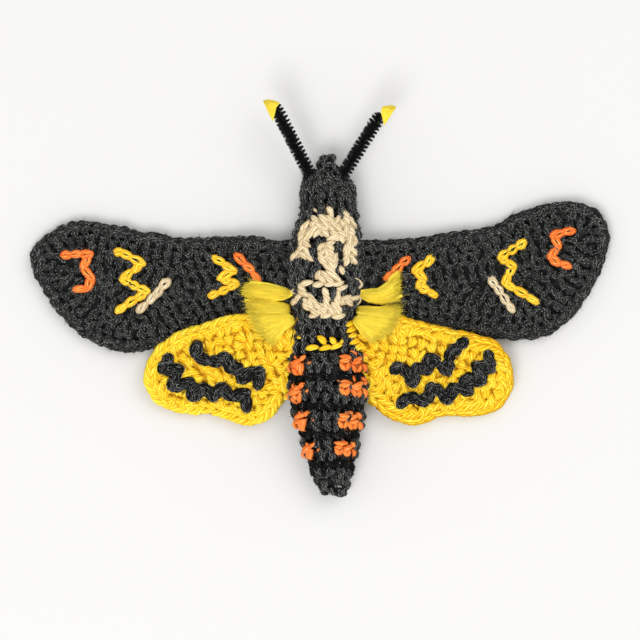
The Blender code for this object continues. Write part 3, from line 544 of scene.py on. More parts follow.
def tubes(paths, radii, normals, twist="fibre", flatness=1):
    """Vertices (strand, station, side) of twisted strands along their paths."""
    sides, lobes, depth, turns = TWISTS[twist]
    tangents = unit(np.gradient(paths, axis=1))
    across = unit(np.cross(tangents, normals))
    upwards = np.cross(across, tangents)
    start = rng.uniform(0, math.tau, (len(paths), 1, 1))
    turned = np.linspace(0, 1, paths.shape[1])[None, :, None] * turns * math.tau
    side = math.tau * np.arange(sides) / sides
    angle = side[None, None, :] + turned + start
    lobed = radii[:, :, None] * (1 + depth * np.cos(lobes * side)[None, None, :])
    return (
        paths[:, :, None, :]
        + across[:, :, None, :] * (np.cos(angle) * lobed)[..., None]
        + upwards[:, :, None, :] * (np.sin(angle) * lobed)[..., None] * flatness
    )


def add_object(name, data):
    """A new object in the scene."""
    thing = bpy.data.objects.new(name, data)
    bpy.context.scene.collection.objects.link(thing)
    return thing


def add_piece(name, mesh, slot, *nodes):
    """A piece that rides on the moth and stands for these nodes, which it hides; its slot is not used.
    """
    piece = add_object(name, mesh)
    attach(piece, "root")
    if nodes:
        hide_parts(*nodes)
    return piece


BAKE_PATCH = 0.003
GROUND_CLEARANCE = 0.02
SHADE_SHIFT = 7.3


def strand_piece(name, batches, material, slot, *nodes):
    """One piece from batches of strand vertices, each with its own stations and sides."""
    corners, totals, strand_uv, bake_uv, shades = [], [], [], [], []
    start = 0
    points = np.concatenate([batch.reshape(-1, 3) for batch in batches])
    low = points[:, :2].min(axis=0)
    span = np.ptp(points[:, :2], axis=0).max() + 1e-6
    for batch in batches:
        count, stations, sides, _ = batch.shape
        shade = rng.uniform(0, 1, count)
        shades.append(np.repeat(shade, stations * sides))
        base = start + np.arange(count)[:, None, None] * stations * sides
        ring = np.arange(stations - 1)[None, :, None] * sides
        side = np.arange(sides)[None, None, :]
        after = (side + 1) % sides
        near, far = base + ring, base + ring + sides
        quads = stacked(near + side, near + after, far + after, far + side)
        step = run_lengths(batch.mean(axis=2))[:, None, None] / (stations - 1)
        u = step * ring / sides + SHADE_SHIFT * shade[:, None, None]
        uv = [
            stacked(u + du * step, (side + dv) / sides)
            for du, dv in ((0, 0), (0, 1), (1, 1), (1, 0))
        ]
        root = (batch[:, 0, :, :2].mean(axis=1) - low) / span * (1 - BAKE_PATCH)
        local = stacked(ring / sides / stations, side / sides).reshape(1, -1, 2) * BAKE_PATCH
        corners.append(quads.ravel())
        totals.append(np.full(quads.size // 4, 4))
        strand_uv.append(np.stack(uv, axis=-2).reshape(-1, 2))
        bake_uv.append(np.repeat((root[:, None, :] + local).reshape(-1, 2), 4, axis=0))
        for cap_ring, order in ((0, -1), (stations - 1, 1)):
            corners.append((base[:, 0, :] + cap_ring * sides + np.arange(sides)[None, ::order]).ravel())
            totals.append(np.full(count, sides))
            strand_uv.append(np.zeros((count * sides, 2)))
            bake_uv.append(np.repeat(root, sides, axis=0))
        start += count * stations * sides
    points[:, 2] = np.maximum(points[:, 2], GROUND_CLEARANCE)
    corners = np.concatenate(corners)
    totals = np.concatenate(totals)
    mesh = bpy.data.meshes.new(name)
    mesh.vertices.add(len(points))
    mesh.vertices.foreach_set("co", (points * MM).ravel())
    mesh.loops.add(len(corners))
    mesh.loops.foreach_set("vertex_index", corners)
    mesh.polygons.add(len(totals))
    mesh.polygons.foreach_set("loop_start", np.concatenate([[0], np.cumsum(totals)[:-1]]))
    mesh.update(calc_edges=True)
    for title, values in (("OFBake", bake_uv), ("Strand", strand_uv)):
        mesh.uv_layers.new(name=title).data.foreach_set("uv", np.concatenate(values).ravel())
    mesh.attributes.new("shade", "FLOAT", "POINT").data.foreach_set("value", np.concatenate(shades))
    mesh.polygons.foreach_set("use_smooth", np.ones(len(totals), dtype=bool))
    mesh.validate()
    mesh.materials.append(STUFF[material])
    add_piece(name, mesh, slot, *nodes)


def stitches(frames, template, stations, jitter, twist, scale=1):
    """Strands of a stitch on every frame, kept off the ground, and how they face.

    A template strand is (start, end, rise, bow, radius): start and end are along,
    across and height; it rises and bows between them.
    """
    count = len(frames)
    t = np.linspace(0, 1, stations)
    bend = np.sin(math.pi * t)
    turn, shift, lift = jitter
    swing = rng.normal(0, turn, count)
    offset = rng.normal(0, shift, (count, 2))
    size = (rng.normal(1, 0.06, count) * scale)[:, None]
    raise_by = rng.normal(0, lift, count)[:, None]
    cosine, sine = np.cos(swing)[:, None], np.sin(swing)[:, None]
    thick = 0.45 + 0.55 * np.sin(math.pi * np.clip(t, 0.03, 0.97)) ** 0.6
    paths, radii = [], []
    for start, end, rise, bow, radius in template:
        start, end = np.array(start), np.array(end)
        ahead_x, ahead_y = unit((end - start)[:2])
        line = start + (end - start) * t[:, None]
        x, y, z = (line + stacked(-ahead_y * bow * bend, ahead_x * bow * bend, rise * bend)).T
        a = (x * cosine - y * sine) * size + offset[:, :1]
        b = (x * sine + y * cosine) * size + offset[:, 1:]
        parts = stacked(1, a, b, z + raise_by)
        paths.append(np.sum(frames[:, None] * parts[..., None], axis=2))
        radii.append(radius * thick * rng.normal(1, 0.08, (count, 1)) * np.reshape(scale, (-1, 1)))
    paths = np.concatenate(paths)
    paths[..., 2] = np.maximum(paths[..., 2], LOWEST_STRAND)
    normals = np.tile(frames[:, 3:4], (len(template), stations, 1))
    return tubes(paths, np.concatenate(radii), normals, twist), normals


def fibres(strands, facing, kind, upright, times=1):
    """Fine fibres on the outer side of strands, lying along them or standing up."""
    look = (*FUZZ[kind], STANDING_LEAN, STANDING_FACE) if upright else FLECKS[kind]
    count, length, radius, lean, exposed = look
    count *= times
    centres = strands.mean(axis=2)
    pick = rng.integers(0, len(strands), count * 5)
    at = rng.integers(1, strands.shape[1] - 1, count * 5)
    side = rng.integers(0, strands.shape[2], count * 5)
    outwards = unit(strands[pick, at, side] - centres[pick, at])
    shown = np.flatnonzero(np.sum(outwards * facing[pick, at], axis=1) > exposed)[:count]
    pick, at, side, outwards = pick[shown], at[shown], side[shown], outwards[shown]
    skin = strands[pick, at, side][:, None, :]
    along = unit(centres[pick, at + 1] - centres[pick, at - 1])
    across = np.cross(outwards, along)
    lean = rng.normal(0, lean, len(pick))[:, None]
    run = (along * np.cos(lean) + across * np.sin(lean))[:, None, :]
    reach = length * rng.uniform(0.5, 1.4, (len(pick), 1, 1))
    taper = np.array([0.7, 1, 0.8, 0.35] if upright else [0.85, 0.85])
    t = np.linspace(0, 1, len(taper))[None, :, None]
    up = outwards[:, None, :]
    if upright:
        wander = unit(rng.normal(0, 1, (len(pick), 1, 3)))
        paths = skin + reach * (t * (0.5 * up + 0.5 * run) + 0.5 * t**2 * wander)
    else:
        middle = reach * (t - 0.5)
        droop = (middle * np.sin(lean)[:, None, :]) ** 2 / 3
        paths = skin + 0.04 * up + run * middle - up * droop
    radii = radius * rng.uniform(0.6, 1.3, (len(pick), 1)) * taper
    return tubes(paths, radii, up)


# Strands of one stitch, in mm: along the row, across it, height; rise; bow; radius
V_STITCH = [
    ((-0.2, 2.2, -1), (-1.2, -1.9, -0.9), 1, 0.4, 1.25),
    ((0.2, 2.2, -1), (1.2, -1.9, -0.9), 1, -0.4, 1.25),
    ((-1.8, -1.3, -0.9), (1.8, -1.8, -0.9), 0.8, 0.2, 1.05),
]
BODY_STITCH = [
    ((-0.1, 2.3, -0.9), (-1.25, -2, -0.9), 1.1, 0.35, 1.1),
    ((0.1, 2.3, -0.9), (1.25, -2, -0.9), 1.1, -0.35, 1.1),
]
FAN_STITCH = [
    ((-0.3, 2.2, -0.9), (-1.7, -1.6, -0.8), 0.9, 0.4, 1.05),
    ((0, 2.4, -0.8), (0.05, -2, -0.7), 1.1, 0, 1.08),
    ((0.3, 2.2, -0.9), (1.7, -1.6, -0.8), 0.9, -0.4, 1.05),
]
UNDER_STITCH = [
    ((-2.3, 0.3, -0.8), (2.2, -0.2, -0.8), 0.7, 0.3, 1.15),
    ((-2.1, 1.6, -0.9), (2.3, 1.3, -0.9), 0.4, -0.3, 1.05),
]
RIM_STITCH = [
    ((-3.3, 4, -0.9), (3, 2.3, -0.7), 0.55, 0.35, 1.05),
    ((-3.3, 1.6, -2.9), (3, 2.8, -0.9), 0.5, -0.85, 1.1),
    ((-2.6, 2.2, -4.5), (2.8, 1.7, -3.1), -0.2, -0.6, 1.1),
]
# How far each stitch is turned, shifted and raised at random
UNDER_JITTER = (0.12, 0.2, 0.05)
RIM_JITTER = (0.07, 0.16, 0.08)
BODY_JITTER = (0.26, 0.24, 0.14)
WINGS = {
    "forewing": {
        "yarn": "charcoal_wool", "crevice_shade": "wool_crevice_shade", "core_depth": 1.3, "first_inset": 4.3,
        "spacing": 3.9, "closest": 3.1, "gap": 2.9, "stitch": V_STITCH,
        "jitter": (0.3, 0.26, 0.22), "twist": "wool", "rim_scale": 1.04, "fuzz": "wool_fluff",
    },
    "hindwing": {
        "yarn": "yellow_cotton", "crevice_shade": "yellow_crevice_shade", "core_depth": 0.8, "first_inset": 5,
        "spacing": 3.6, "closest": 2.8, "gap": 2.5, "stitch": FAN_STITCH,
        "jitter": (0.6, 0.34, 0.14), "twist": "cotton", "rim_scale": 1.24, "fuzz": "yellow_cotton",
    },
}


def new_material(name):
    """A new material and its node tree."""
    material = bpy.data.materials.new(name)
    material.use_nodes = True
    return material, material.node_tree


def set_inputs(node, inputs):
    """Sets a node's inputs to values, or links other nodes' outputs to them."""
    for slot, value in inputs.items():
        if isinstance(value, bpy.types.NodeSocket):
            node.id_data.links.new(value, node.inputs[slot])
        else:
            node.inputs[slot].default_value = value


def add_node(tree, kind, inputs, output, **settings):
    """One output of a new node of this kind."""
    node = tree.nodes.new(f"ShaderNode{kind}")
    for setting, value in settings.items():
        setattr(node, setting, value)
    set_inputs(node, inputs)
    return node.outputs[output]


def add_ramp(tree, factor, low, dark, high, light):
    """A ramp from one colour at its low end to another at its high end."""
    ramp = tree.nodes.new("ShaderNodeValToRGB")
    for end, place, colour in zip(ramp.color_ramp.elements, (low, high), (dark, light)):
        end.position = place
        end.color = (*colour, 1)
    set_inputs(ramp, {"Fac": factor})
    return ramp.outputs["Color"]


def yarn(name, colour, dark, light, fibre, fuzz, painted_ply_shade, rough, run=LONG_RUN, plies=PLIES):
    """Plied yarn: each strand has its own shade, with fine fibres along it."""
    material, tree = new_material(name)
    strand = add_node(tree, "UVMap", {}, "UV", uv_map="Strand")
    stretched = add_node(tree, "Mapping", {"Vector": strand, "Scale": (run, 22, 1)}, "Vector")
    streaks = add_node(tree, "TexNoise", {"Vector": stretched, "Scale": 1, "Detail": 4}, "Fac")
    shade = add_node(tree, "Attribute", {}, "Fac", attribute_name="shade")
    place = add_node(tree, "TexCoord", {}, "Object")
    mottle = add_node(tree, "TexNoise", {"Vector": place, "Scale": 260, "Detail": 3}, "Fac")
    half = add_node(tree, "Math", {0: mottle, 1: 0.5}, "Value", operation="MULTIPLY")
    total = add_node(tree, "Math", {0: shade, 1: 0.5, 2: half}, "Value", operation="MULTIPLY_ADD")
    body = add_ramp(tree, total, 0.2, dark, 0.8, colour)
    shown = add_ramp(tree, streaks, fibre, BLACK, min(fibre + 0.12, 1), WHITE)
    # Paler fibre streaks along the strand; on the cotton yarns they are partly a painted highlight
    streaked = add_node(
        tree, "Mix", {"Factor": shown, 6: body, 7: (*light, 1)}, 2, data_type="RGBA",
    )
    waves = add_node(tree, "TexWave", {
        "Vector": strand, "Scale": math.tau * plies / 20,
        "Phase Offset": math.pi / 2, "Distortion": 0.6,
    }, "Fac", bands_direction="Y")
    # Painted shade between the plies: the yarn darkens towards the ply colour in each wave's valley
    painted_ply_shades = add_ramp(tree, waves, 0, painted_ply_shade, 0.6, WHITE)
    shaded = add_node(
        tree, "Mix", {"Factor": 1, 6: streaked, 7: painted_ply_shades}, 2,
        data_type="RGBA", blend_type="MULTIPLY",
    )
    bump = add_node(
        tree, "Bump", {"Strength": fuzz, "Distance": 0.0003, "Height": streaks}, "Normal",
    )
    set_inputs(tree.nodes["Principled BSDF"], {
        "Roughness": rough, "Specular IOR Level": 0.15, "Base Color": shaded, "Normal": bump,
    })
    return material


def flat_crevice_shade(name, colour):
    """The stuffed core's surface behind the stitches, which shows only in their crevices, coloured
    darker than the yarn as painted shade in those crevices.
    """
    material, tree = new_material(name)
    place = add_node(tree, "TexCoord", {}, "Object")
    noise = add_node(tree, "TexNoise", {"Vector": place, "Scale": 900, "Detail": 2}, "Fac")
    dark = [value * 0.6 for value in colour]
    bump = add_node(
        tree, "Bump", {"Strength": 0.5, "Distance": 0.0004, "Height": noise}, "Normal",
    )
    set_inputs(tree.nodes["Principled BSDF"], {
        "Roughness": 0.95, "Base Color": add_ramp(tree, noise, 0.35, dark, 0.7, colour),
        "Normal": bump,
    })
    return material


STUFF = {name: yarn(name, *look) for name, look in YARNS.items()}
STUFF |= {name: flat_crevice_shade(name, colour) for name, colour in CREVICE_SHADES.items()}


def core_of(node, depth, crevice_shade, slot):
    """A stuffed core: the node's own form, drawn in below its stitches, coloured with painted crevice
    shade.
    """
    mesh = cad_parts[node].data.copy()
    mesh.name = f"{node}_core"
    points, normals = np.empty((2, len(mesh.vertices) * 3))
    mesh.vertices.foreach_get("co", points)
    mesh.vertices.foreach_get("normal", normals)
    points = (points - normals * depth * MM).reshape(-1, 3)
    if node.startswith("hindwing"):
        over_flank = (points[:, 1] > FLANK_Y * MM) & ~beside_body(points / MM, -2)
        points[over_flank, 2] -= FLANK_SINK * MM
    mesh.vertices.foreach_set("co", points.ravel())
    mesh.materials.clear()
    mesh.materials.append(STUFF[crevice_shade])
    mesh.update()
    return add_piece(f"{node}_core", mesh, slot, node)


def distance_to_loop(places, loop):
    """Distance of each place from a closed polyline."""
    ends = np.roll(loop, -1, axis=0)
    legs = ends - loop
    offset = places[:, None, :] - loop[None, :, :]
    part = np.clip(np.sum(offset * legs, axis=2) / np.sum(legs * legs, axis=1), 0, 1)
    return np.min(np.linalg.norm(offset - part[..., None] * legs, axis=2), axis=1)


def beside_body(places, margin):
    """Whether each place is beside the body, or over it by less than the margin."""
    middle_x, half_width, _, _ = body_at(places[:, 1])
    return np.abs(places[:, 0] - middle_x) > half_width - margin


def shows(wing, places, margin):
    """Whether each place on a wing shows beside the body, with this margin on a forewing."""
    if wing.startswith("hindwing"):
        margin = np.where(places[:, 1] > HIND_FRONT_Y, -1.2, 1.6)
    return beside_body(places, margin)


def clearance(place, others):
    """Distance from a place to the nearest of the others."""
    return np.min(np.hypot(*(np.array(others) - place).T))


def wing_rounds(wing, look):
    """Places and directions of the wing's stitches, worked round inside its rim."""
    loop = closed_curve(OUTLINES[wing], 0.5)
    along, inwards = loop_directions(loop)
    far_off = np.array([1e6, 1e6])
    placed, rows = [far_off], [far_off]
    for inset in look["first_inset"] + ROUND_PITCH * np.arange(ROUNDS):
        inner = loop + inwards * inset
        clear = distance_to_loop(inner, loop) > inset - 0.12
        last = far_off
        for place, row in zip(inner[clear], along[clear]):
            spaced = clearance(place, [last]) >= look["spacing"]
            if spaced and clearance(place, placed) >= look["closest"]:
                placed.append(place)
                rows.append(row)
                last = place
    low, high = loop.min(axis=0), loop.max(axis=0)
    columns, lines = (np.arange(low[axis], high[axis], GRID) for axis in (0, 1))
    grid = stacked(columns[:, None], lines).reshape(-1, 2)
    nearest = np.argmin(np.linalg.norm(grid[:, None] - loop[None], axis=2), axis=1)
    turned = np.sum((grid - loop[nearest]) * inwards[nearest], axis=1)
    inside = (turned > 0) & (distance_to_loop(grid, loop) > look["first_inset"] - 0.6)
    for place, near in zip(grid[inside], nearest[inside]):
        if clearance(place, placed) > look["gap"]:
            placed.append(place)
            rows.append(along[near])
    places, rows = np.array(placed[1:]), np.array(rows[1:])
    show = shows(wing, places, 2)
    return places[show], rows[show]


def make_wing(wing):
    """Rim, top stitches, underside stitches and stuffed core of one wing."""
    fore = wing.startswith("forewing")
    look = WINGS["forewing" if fore else "hindwing"]
    slot, twist = look["yarn"], look["twist"]
    core = core_of(wing, look["core_depth"], look["crevice_shade"], slot)
    places, rows = wing_rounds(wing, look)
    top = wing_frames(wing, places, rows, 1)
    middle = np.mean(closed_curve(OUTLINES[wing], 0.5), axis=0)
    top[np.sum(top[:, 2, :2] * (middle - places), axis=1) < 0, 1:3] *= -1
    strands, facing = stitches(top, look["stitch"], 8, look["jitter"], twist)
    strand_piece(f"{wing}_stitches", [strands], slot, slot)
    under = wing_frames(wing, places, rows, -1)
    below, _ = stitches(under, UNDER_STITCH, 6, UNDER_JITTER, "underside")
    strand_piece(f"{wing}_underside", [below], slot, slot)
    rim = closed_curve(OUTLINES[wing], STITCH_WIDTH)
    along, inwards = loop_directions(rim)
    show = shows(wing, rim, 1)
    frames = wing_frames(wing, rim[show], along[show], 1)
    frames[:, 2] = stacked(*inwards[show].T, 0)
    edge, normals = stitches(frames, RIM_STITCH, 9, RIM_JITTER, f"{twist}_rim", look["rim_scale"])
    strand_piece(f"{wing}_rim", [edge], slot, slot)
    rim_facing = unit(normals * 0.7 - frames[:, 2][np.arange(len(edge)) % len(frames)][:, None, :])
    if fore:
        lying = fibres(strands, facing, "wing", False)
        rim_lying = fibres(edge, rim_facing, "rim", False)
        strand_piece(f"{wing}_heather", [lying, rim_lying], "heather_fibre", slot)
    fuzz = fibres(edge, rim_facing, f"{twist}_rim", True)
    over = fibres(strands, facing, twist, True)
    strand_piece(f"{wing}_fuzz", [fuzz, over], look["fuzz"], slot)


def skull_strands():
    """Ends of the skull's strands, read from its chart."""
    strands = []
    for row, line in enumerate(SKULL_CHART):
        for column, sign in enumerate(line):
            if sign in SKULL_SIGNS:
                half = np.array(SKULL_SIGNS[sign]) / 2
                x = SKULL_LEFT_X + SKULL_COLUMN * column
                middle = np.array([x, SKULL_TOP_Y - SKULL_ROW * row])
                strands.append([middle - half, middle + half])
    return strands


def on_body(x, y):
    """Place and outward direction on the body's top under a point seen from above."""
    middle_x, half_width, _, _ = body_at(y)
    angle = np.arcsin(np.clip((x - middle_x) / half_width, -0.985, 0.985))
    frames = body_frames(y.ravel(), angle.ravel()).reshape(*y.shape, 4, 3)
    return frames[..., 0, :], frames[..., 3, :]


def laid_strands(strands, radius, lift, twist="laid", jitter=0.08):
    """Plied strands laid on the body through two or three places each."""
    t = np.linspace(0, 1, 9)
    flat = []
    for strand in strands:
        points = np.array(strand, dtype=float) + rng.normal(0, jitter, (len(strand), 2))
        points = points.mean(axis=0) + (points - points.mean(axis=0)) * LAID_STRETCH
        if len(points) == 2:
            bow = unit(points[1] - points[0])[::-1] * np.array([-1, 1]) * rng.normal(0, 0.28)
            middle = points.mean(axis=0) + bow
        else:
            middle = points[1]
        flat.append(through(points[0], middle, points[-1], t[:, None]))
    flat = np.array(flat)
    places, outwards = on_body(flat[..., 0], flat[..., 1])
    height = lift * np.sin(math.pi * t) ** 0.7 - LAID_DEPTH + rng.normal(0, 0.18, (len(flat), 1))
    paths = places + outwards * height[..., None]
    taper = 0.12 + 0.88 * np.sin(math.pi * t) ** 0.75
    full = np.minimum(1, run_lengths(flat)[:, None] / FULL_STRAND) ** 1.3
    radii = radius * full * rng.normal(1, 0.08, (len(flat), 1)) * taper
    return tubes(paths, radii, outwards, twist, LAID_FLATNESS), outwards


def bridges(strands, reach):
    """Strands of the layer beneath, from the middle of each strand to its neighbours'."""
    middles = np.array([np.mean(strand, axis=0) for strand in strands])
    return [
        [middle, other] for index, middle in enumerate(middles) for other in middles[index + 1:]
        if np.hypot(*(other - middle)) < reach
    ]


def make_body_marks():
    """The skull, the waist's row, the sewing and the orange patches, as laid strands."""
    marks = {
        "skull_strands": (skull_strands(), "cream", "skull_mark"),
        "waist_strands": (WAIST_STRANDS + SEWING_STRANDS, "yellow", "waist_braid"),
    }
    for patch, (x, y, size) in PATCHES.items():
        template = np.array(RIGHT_PATCH if patch.startswith("right") else LEFT_PATCH)
        strands = list(size * template + (x, y))
        marks[f"orange_strands_{patch}"] = (strands, "orange", f"orange_patch_{patch}")
    laid = []
    for name, (strands, colour, node) in marks.items():
        radius, jitter, reach = LAID[colour]
        tubed, outwards = laid_strands(strands, radius, LAID_LIFT, jitter=jitter)
        beneath = []
        if reach:
            lower = bridges(strands, reach)
            beneath.append(laid_strands(lower, radius, BRIDGE_LIFT, "bridge")[0])
        if name == "skull_strands":
            beneath.append(laid_strands(SKULL_ARCS, ARC_RADIUS, ARC_LIFT)[0])
        fluff = fibres(tubed, outwards, "laid", True, len(tubed))
        cotton = f"{colour}_cotton"
        strand_piece(name, [tubed, *beneath, fluff], cotton, cotton, node)
        laid.append(tubed.mean(axis=(1, 2)))
    return np.concatenate(laid)


def round_angles(y, row):
    """Angles of the stitches of one round, evenly spaced round the body."""
    _, half_width, half_height, _ = body_at(np.array([y]))
    fine = np.linspace(-math.pi, math.pi, 241)
    step = np.hypot(half_width * np.cos(fine), half_height * np.sin(fine))
    reach = np.concatenate([[0], np.cumsum((step[1:] + step[:-1]) / 2)])
    around = reach[-1] * (fine[1] - fine[0])
    count = max(5, round(around / STITCH_WIDTH))
    wanted = reach[-1] * (np.arange(count) + 0.5 * (row % 2) + 0.25) / count
    return np.interp(wanted % reach[-1], reach, fine)


def heather_and_fuzz(name, strands, facing, flecks, fuzz, fluff, slot):
    """Flecks and fuzz on strands of wool, as two pieces."""
    lying = fibres(strands, facing, flecks, False, len(strands))
    standing = fibres(strands, facing, fuzz, True, len(strands))
    strand_piece(f"{name}_heather", [lying], "heather_fibre", slot)
    strand_piece(f"{name}_fuzz", [standing], fluff, slot)


def body_stitches(part, frames, slot, fluff):
    """The stitches of one colour on a part of the body, with their flecks and fuzz."""
    _, half_width, _, _ = body_at(frames[:, 0, 1])
    scale = np.clip(0.5 + half_width / 16, 0.72, 1)
    strands, normals = stitches(frames, BODY_STITCH, 8, BODY_JITTER, "wool", scale)
    strand_piece(part, [strands], slot, slot)
    heather_and_fuzz(part, strands, normals, part, "body", fluff, slot)


def make_body(laid):
    """Rounds of V stitches along the body, in charcoal and black, under the laid strands."""
    for node, (start_y, end_y, round_height, sink) in BODY.items():
        core = core_of(node, sink + CORE_DEPTH, "wool_crevice_shade", "charcoal_wool")
        rows = round((start_y - end_y) / round_height)
        ys, angles = [], []
        for row in range(rows):
            y = start_y + (end_y - start_y) * (row + 0.5) / rows
            angles.append(round_angles(y, row))
            ys.append(y - ROUND_HEIGHT * angles[-1] / math.tau * 0.5)
        y = np.clip(np.concatenate(ys), end_y + 1, start_y - 1)
        frames = body_frames(y, np.concatenate(angles))
        frames[:, 0] -= frames[:, 3] * sink
        clear = np.linalg.norm(frames[:, None, 0] - laid[None, :, :], axis=2).min(axis=1)
        frames = frames[clear > LAID_CLEARANCE]
        y = frames[:, 0, 1]
        nearest = np.abs(y[:, None] - BAND_MIDDLES_Y).min(axis=1)
        black = (y < WAIST_Y) & (y > BANDS_END_Y - 2) & (nearest > BAND_HALF_LENGTH)
        body_stitches(f"{node}_charcoal", frames[~black], "charcoal_wool", "wool_fluff")
        if black.any():
            body_stitches(f"{node}_black", frames[black], "black_yarn", "chenille_black")


def rounded(values):
    """The values with their corners rounded off."""
    return np.convolve(np.pad(values, 1, mode="edge"), [0.25, 0.5, 0.25], mode="valid")


def chain_paths(wing, corners, width, radius):
    """Loops of a chain stitch along a zigzag, each growing out of the one before."""
    t = np.linspace(0, 1, 15)
    from_end = np.minimum(t, 1 - t)
    paths, radii = [], []
    for leg_number, (start, end) in enumerate(zip(corners, corners[1:])):
        leg = np.array(end) - start
        length = float(np.hypot(*leg))
        links = max(1, round(length / STITCH_WIDTH))
        pitch = length / links
        along = leg / length
        hand = np.array([-along[1], along[0]])
        for link in range(links):
            back = -0.35 if paths else -0.08
            last_of_leg = link == links - 1
            last_leg = leg_number == len(corners) - 2
            tip = ELBOW_TIP if last_of_leg and not last_leg else LINK_TIP
            a = np.interp(t, LINK_STEPS, [back, 0.48, 0.94 * tip, tip, 0.94 * tip, 0.48, back])
            b = np.interp(t, LINK_STEPS, LINK_ACROSS)
            if last_of_leg and last_leg:
                b = b * LAST_LINK_WIDTH
            a = rounded(a) * pitch * rng.normal(1, 0.06) + rng.normal(0, 0.2)
            b = rounded(b) * width / 2 * rng.normal(1, 0.11) + a * rng.normal(0, 0.07)
            place = start + along * (pitch * link + a)[:, None] + hand * b[:, None]
            lift = np.interp(from_end, [0, 0.12, 0.3, 0.5], [-0.7, 0.25, 0.5, 0.15])
            z = wing_middle(wing, *place.T) + WING_HALF_THICKNESS + radius + lift + 0.2
            paths.append(stacked(*place.T, z))
            ends = 0.45 if link or leg_number else 0.95
            thick = np.interp(from_end, [0, 0.2, 0.36, 0.5], [ends, 1.06, 1, 0.62])
            radii.append(radius * thick * rng.normal(1, 0.07))
    return np.array(paths), np.array(radii)


def make_chains():
    """The forewings' marks, and the hindwings' bands with their heather."""
    for node, corners in CHAINS.items():
        kind, colour, side = (node.split("_")[index] for index in (0, 1, -1))
        wing, width, radius = CHAIN_KINDS[kind]
        paths, radii = chain_paths(f"{wing}_{side}", corners, width, radius)
        normals = np.broadcast_to(UP, paths.shape)
        strands = tubes(paths, radii, normals, kind)
        if kind == "mark":
            fluff = fibres(strands, normals, kind, True, len(strands))
            slot = f"{colour}_cotton"
            strand_piece(f"{node}_chain", [strands, fluff], f"{colour}_chain", slot, node)
        else:
            strand_piece(f"{node}_chain", [strands], "black_yarn", "charcoal_wool", node)
            heather_and_fuzz(node, strands, normals, kind, kind, "wool_fluff", "charcoal_wool")


def tuft_surface(side, x, y):
    """Height of what a tuft lies on: the forewing, and behind it the hindwing."""
    behind = ease((-y - 3) / 4.5)
    fore = wing_middle(f"forewing_{side}", x, y)
    hind = wing_middle(f"hindwing_{side}", x, y)
    return fore + (hind - fore) * behind + WING_HALF_THICKNESS


def tuft_strands(tuft, count, radius, layers, fray, twist):
    """Strands of one tuft, from its root over its shoulders to its frayed end."""
    *places, root_width = TUFTS[tuft]
    root, front, rear, end_front, end_middle, end_rear = np.array(places)
    share = np.sort(rng.uniform(0, 1, count))[:, None]
    layer = rng.uniform(*layers, (count, 1))
    start = root + (share - 0.5) * root_width * unit(rear - front)
    shoulder = front + (rear - front) * share
    end = through(end_front, end_middle, end_rear, share) + rng.normal(0, fray, (count, 2))
    end = start + (end - start) * np.clip(rng.normal(0.96, 0.06, (count, 1)), 0.7, 1.12)
    t = np.array([0, 0.1, 0.24, 0.42, 0.6, 0.8, 1])
    flat = through(start[:, None], shoulder[:, None], end[:, None], t[None, :, None])
    flat = flat + rng.normal(0, 0.2, (count, 1, 2)) * np.sin(t * 7)[None, :, None]
    rise = np.interp(t, [0, 0.3, 0.8, 1], [0.35, 1, 0.88, 0.75])
    dome = (1.02 - (2 * share - 1) ** 2) ** 0.38 * rise
    ground = tuft_surface(tuft.split("_")[0], flat[..., 0], flat[..., 1])
    height = ground + 0.5 + TUFT_HEIGHT * layer * dome
    middle_x, half_width, half_height, axis_z = body_at(flat[..., 1])
    beside = np.clip(1 - ((flat[..., 0] - middle_x) / half_width) ** 2, 0, 1)
    height = np.maximum(height, axis_z + half_height * np.sqrt(beside) + 0.4 + layer * dome)
    paths = stacked(flat[..., 0], flat[..., 1], height)
    taper = np.array([0.5, 0.8, 1, 1, 1, 1, 0.7])
    radii = radius * rng.uniform(0.7, 1.25, (count, 1)) * taper
    return tubes(paths, radii, UP, twist)


def make_tufts():
    """Bundles of combed roving: thick strands inside, fine ones over them, and strays."""
    for tuft in TUFTS:
        layers = [tuft_strands(tuft, *layer) for layer in TUFT_LAYERS]
        strand_piece(f"roving_{tuft}", layers, "roving_yellow", "roving_yellow", f"tuft_{tuft}")


def bristles(base, axis, length, sideways):
    """The stem's pile: rings of bristles all round it, with shorter ones between them."""
    angle = rng.uniform(0, math.tau, BRISTLES)
    rows = round(length / BRISTLE_PITCH)
    spread = (0.3 - 0.08 * np.sin(angle)) / length
    short = rng.uniform(0, 1, BRISTLES) < SHORT_BRISTLES
    spread = np.where(short, 2 * BRISTLE_PITCH / length, spread)
    place = (rng.integers(0, rows, BRISTLES) + 0.5) / rows + rng.normal(0, 1, BRISTLES) * spread
    place = np.clip(place, 0, 1)
    radial = sideways * np.sin(angle)[:, None] + UP * np.cos(angle)[:, None]
    start = base + axis * (place * length)[:, None]
    domed = np.clip(((1 - place) * length + 0.7) / 2.2, 0, 1) ** 0.5
    reach = ANTENNA_RADIUS * domed * rng.normal(1.03, 0.06, BRISTLES)
    reach = (reach * np.where(short, rng.uniform(0.45, 0.8, BRISTLES), 1))[:, None]
    lean = axis * rng.normal(0.25, 0.1, BRISTLES)[:, None]
    t = np.array([0, 0.55, 1])[None, :, None]
    paths = start[:, None] + (radial * reach)[:, None] * t + lean[:, None] * t**2
    radii = BRISTLE_RADIUS * rng.uniform(0.7, 1.3, (BRISTLES, 1)) * np.array([1, 1, 0.7])
    return tubes(paths, radii, axis)


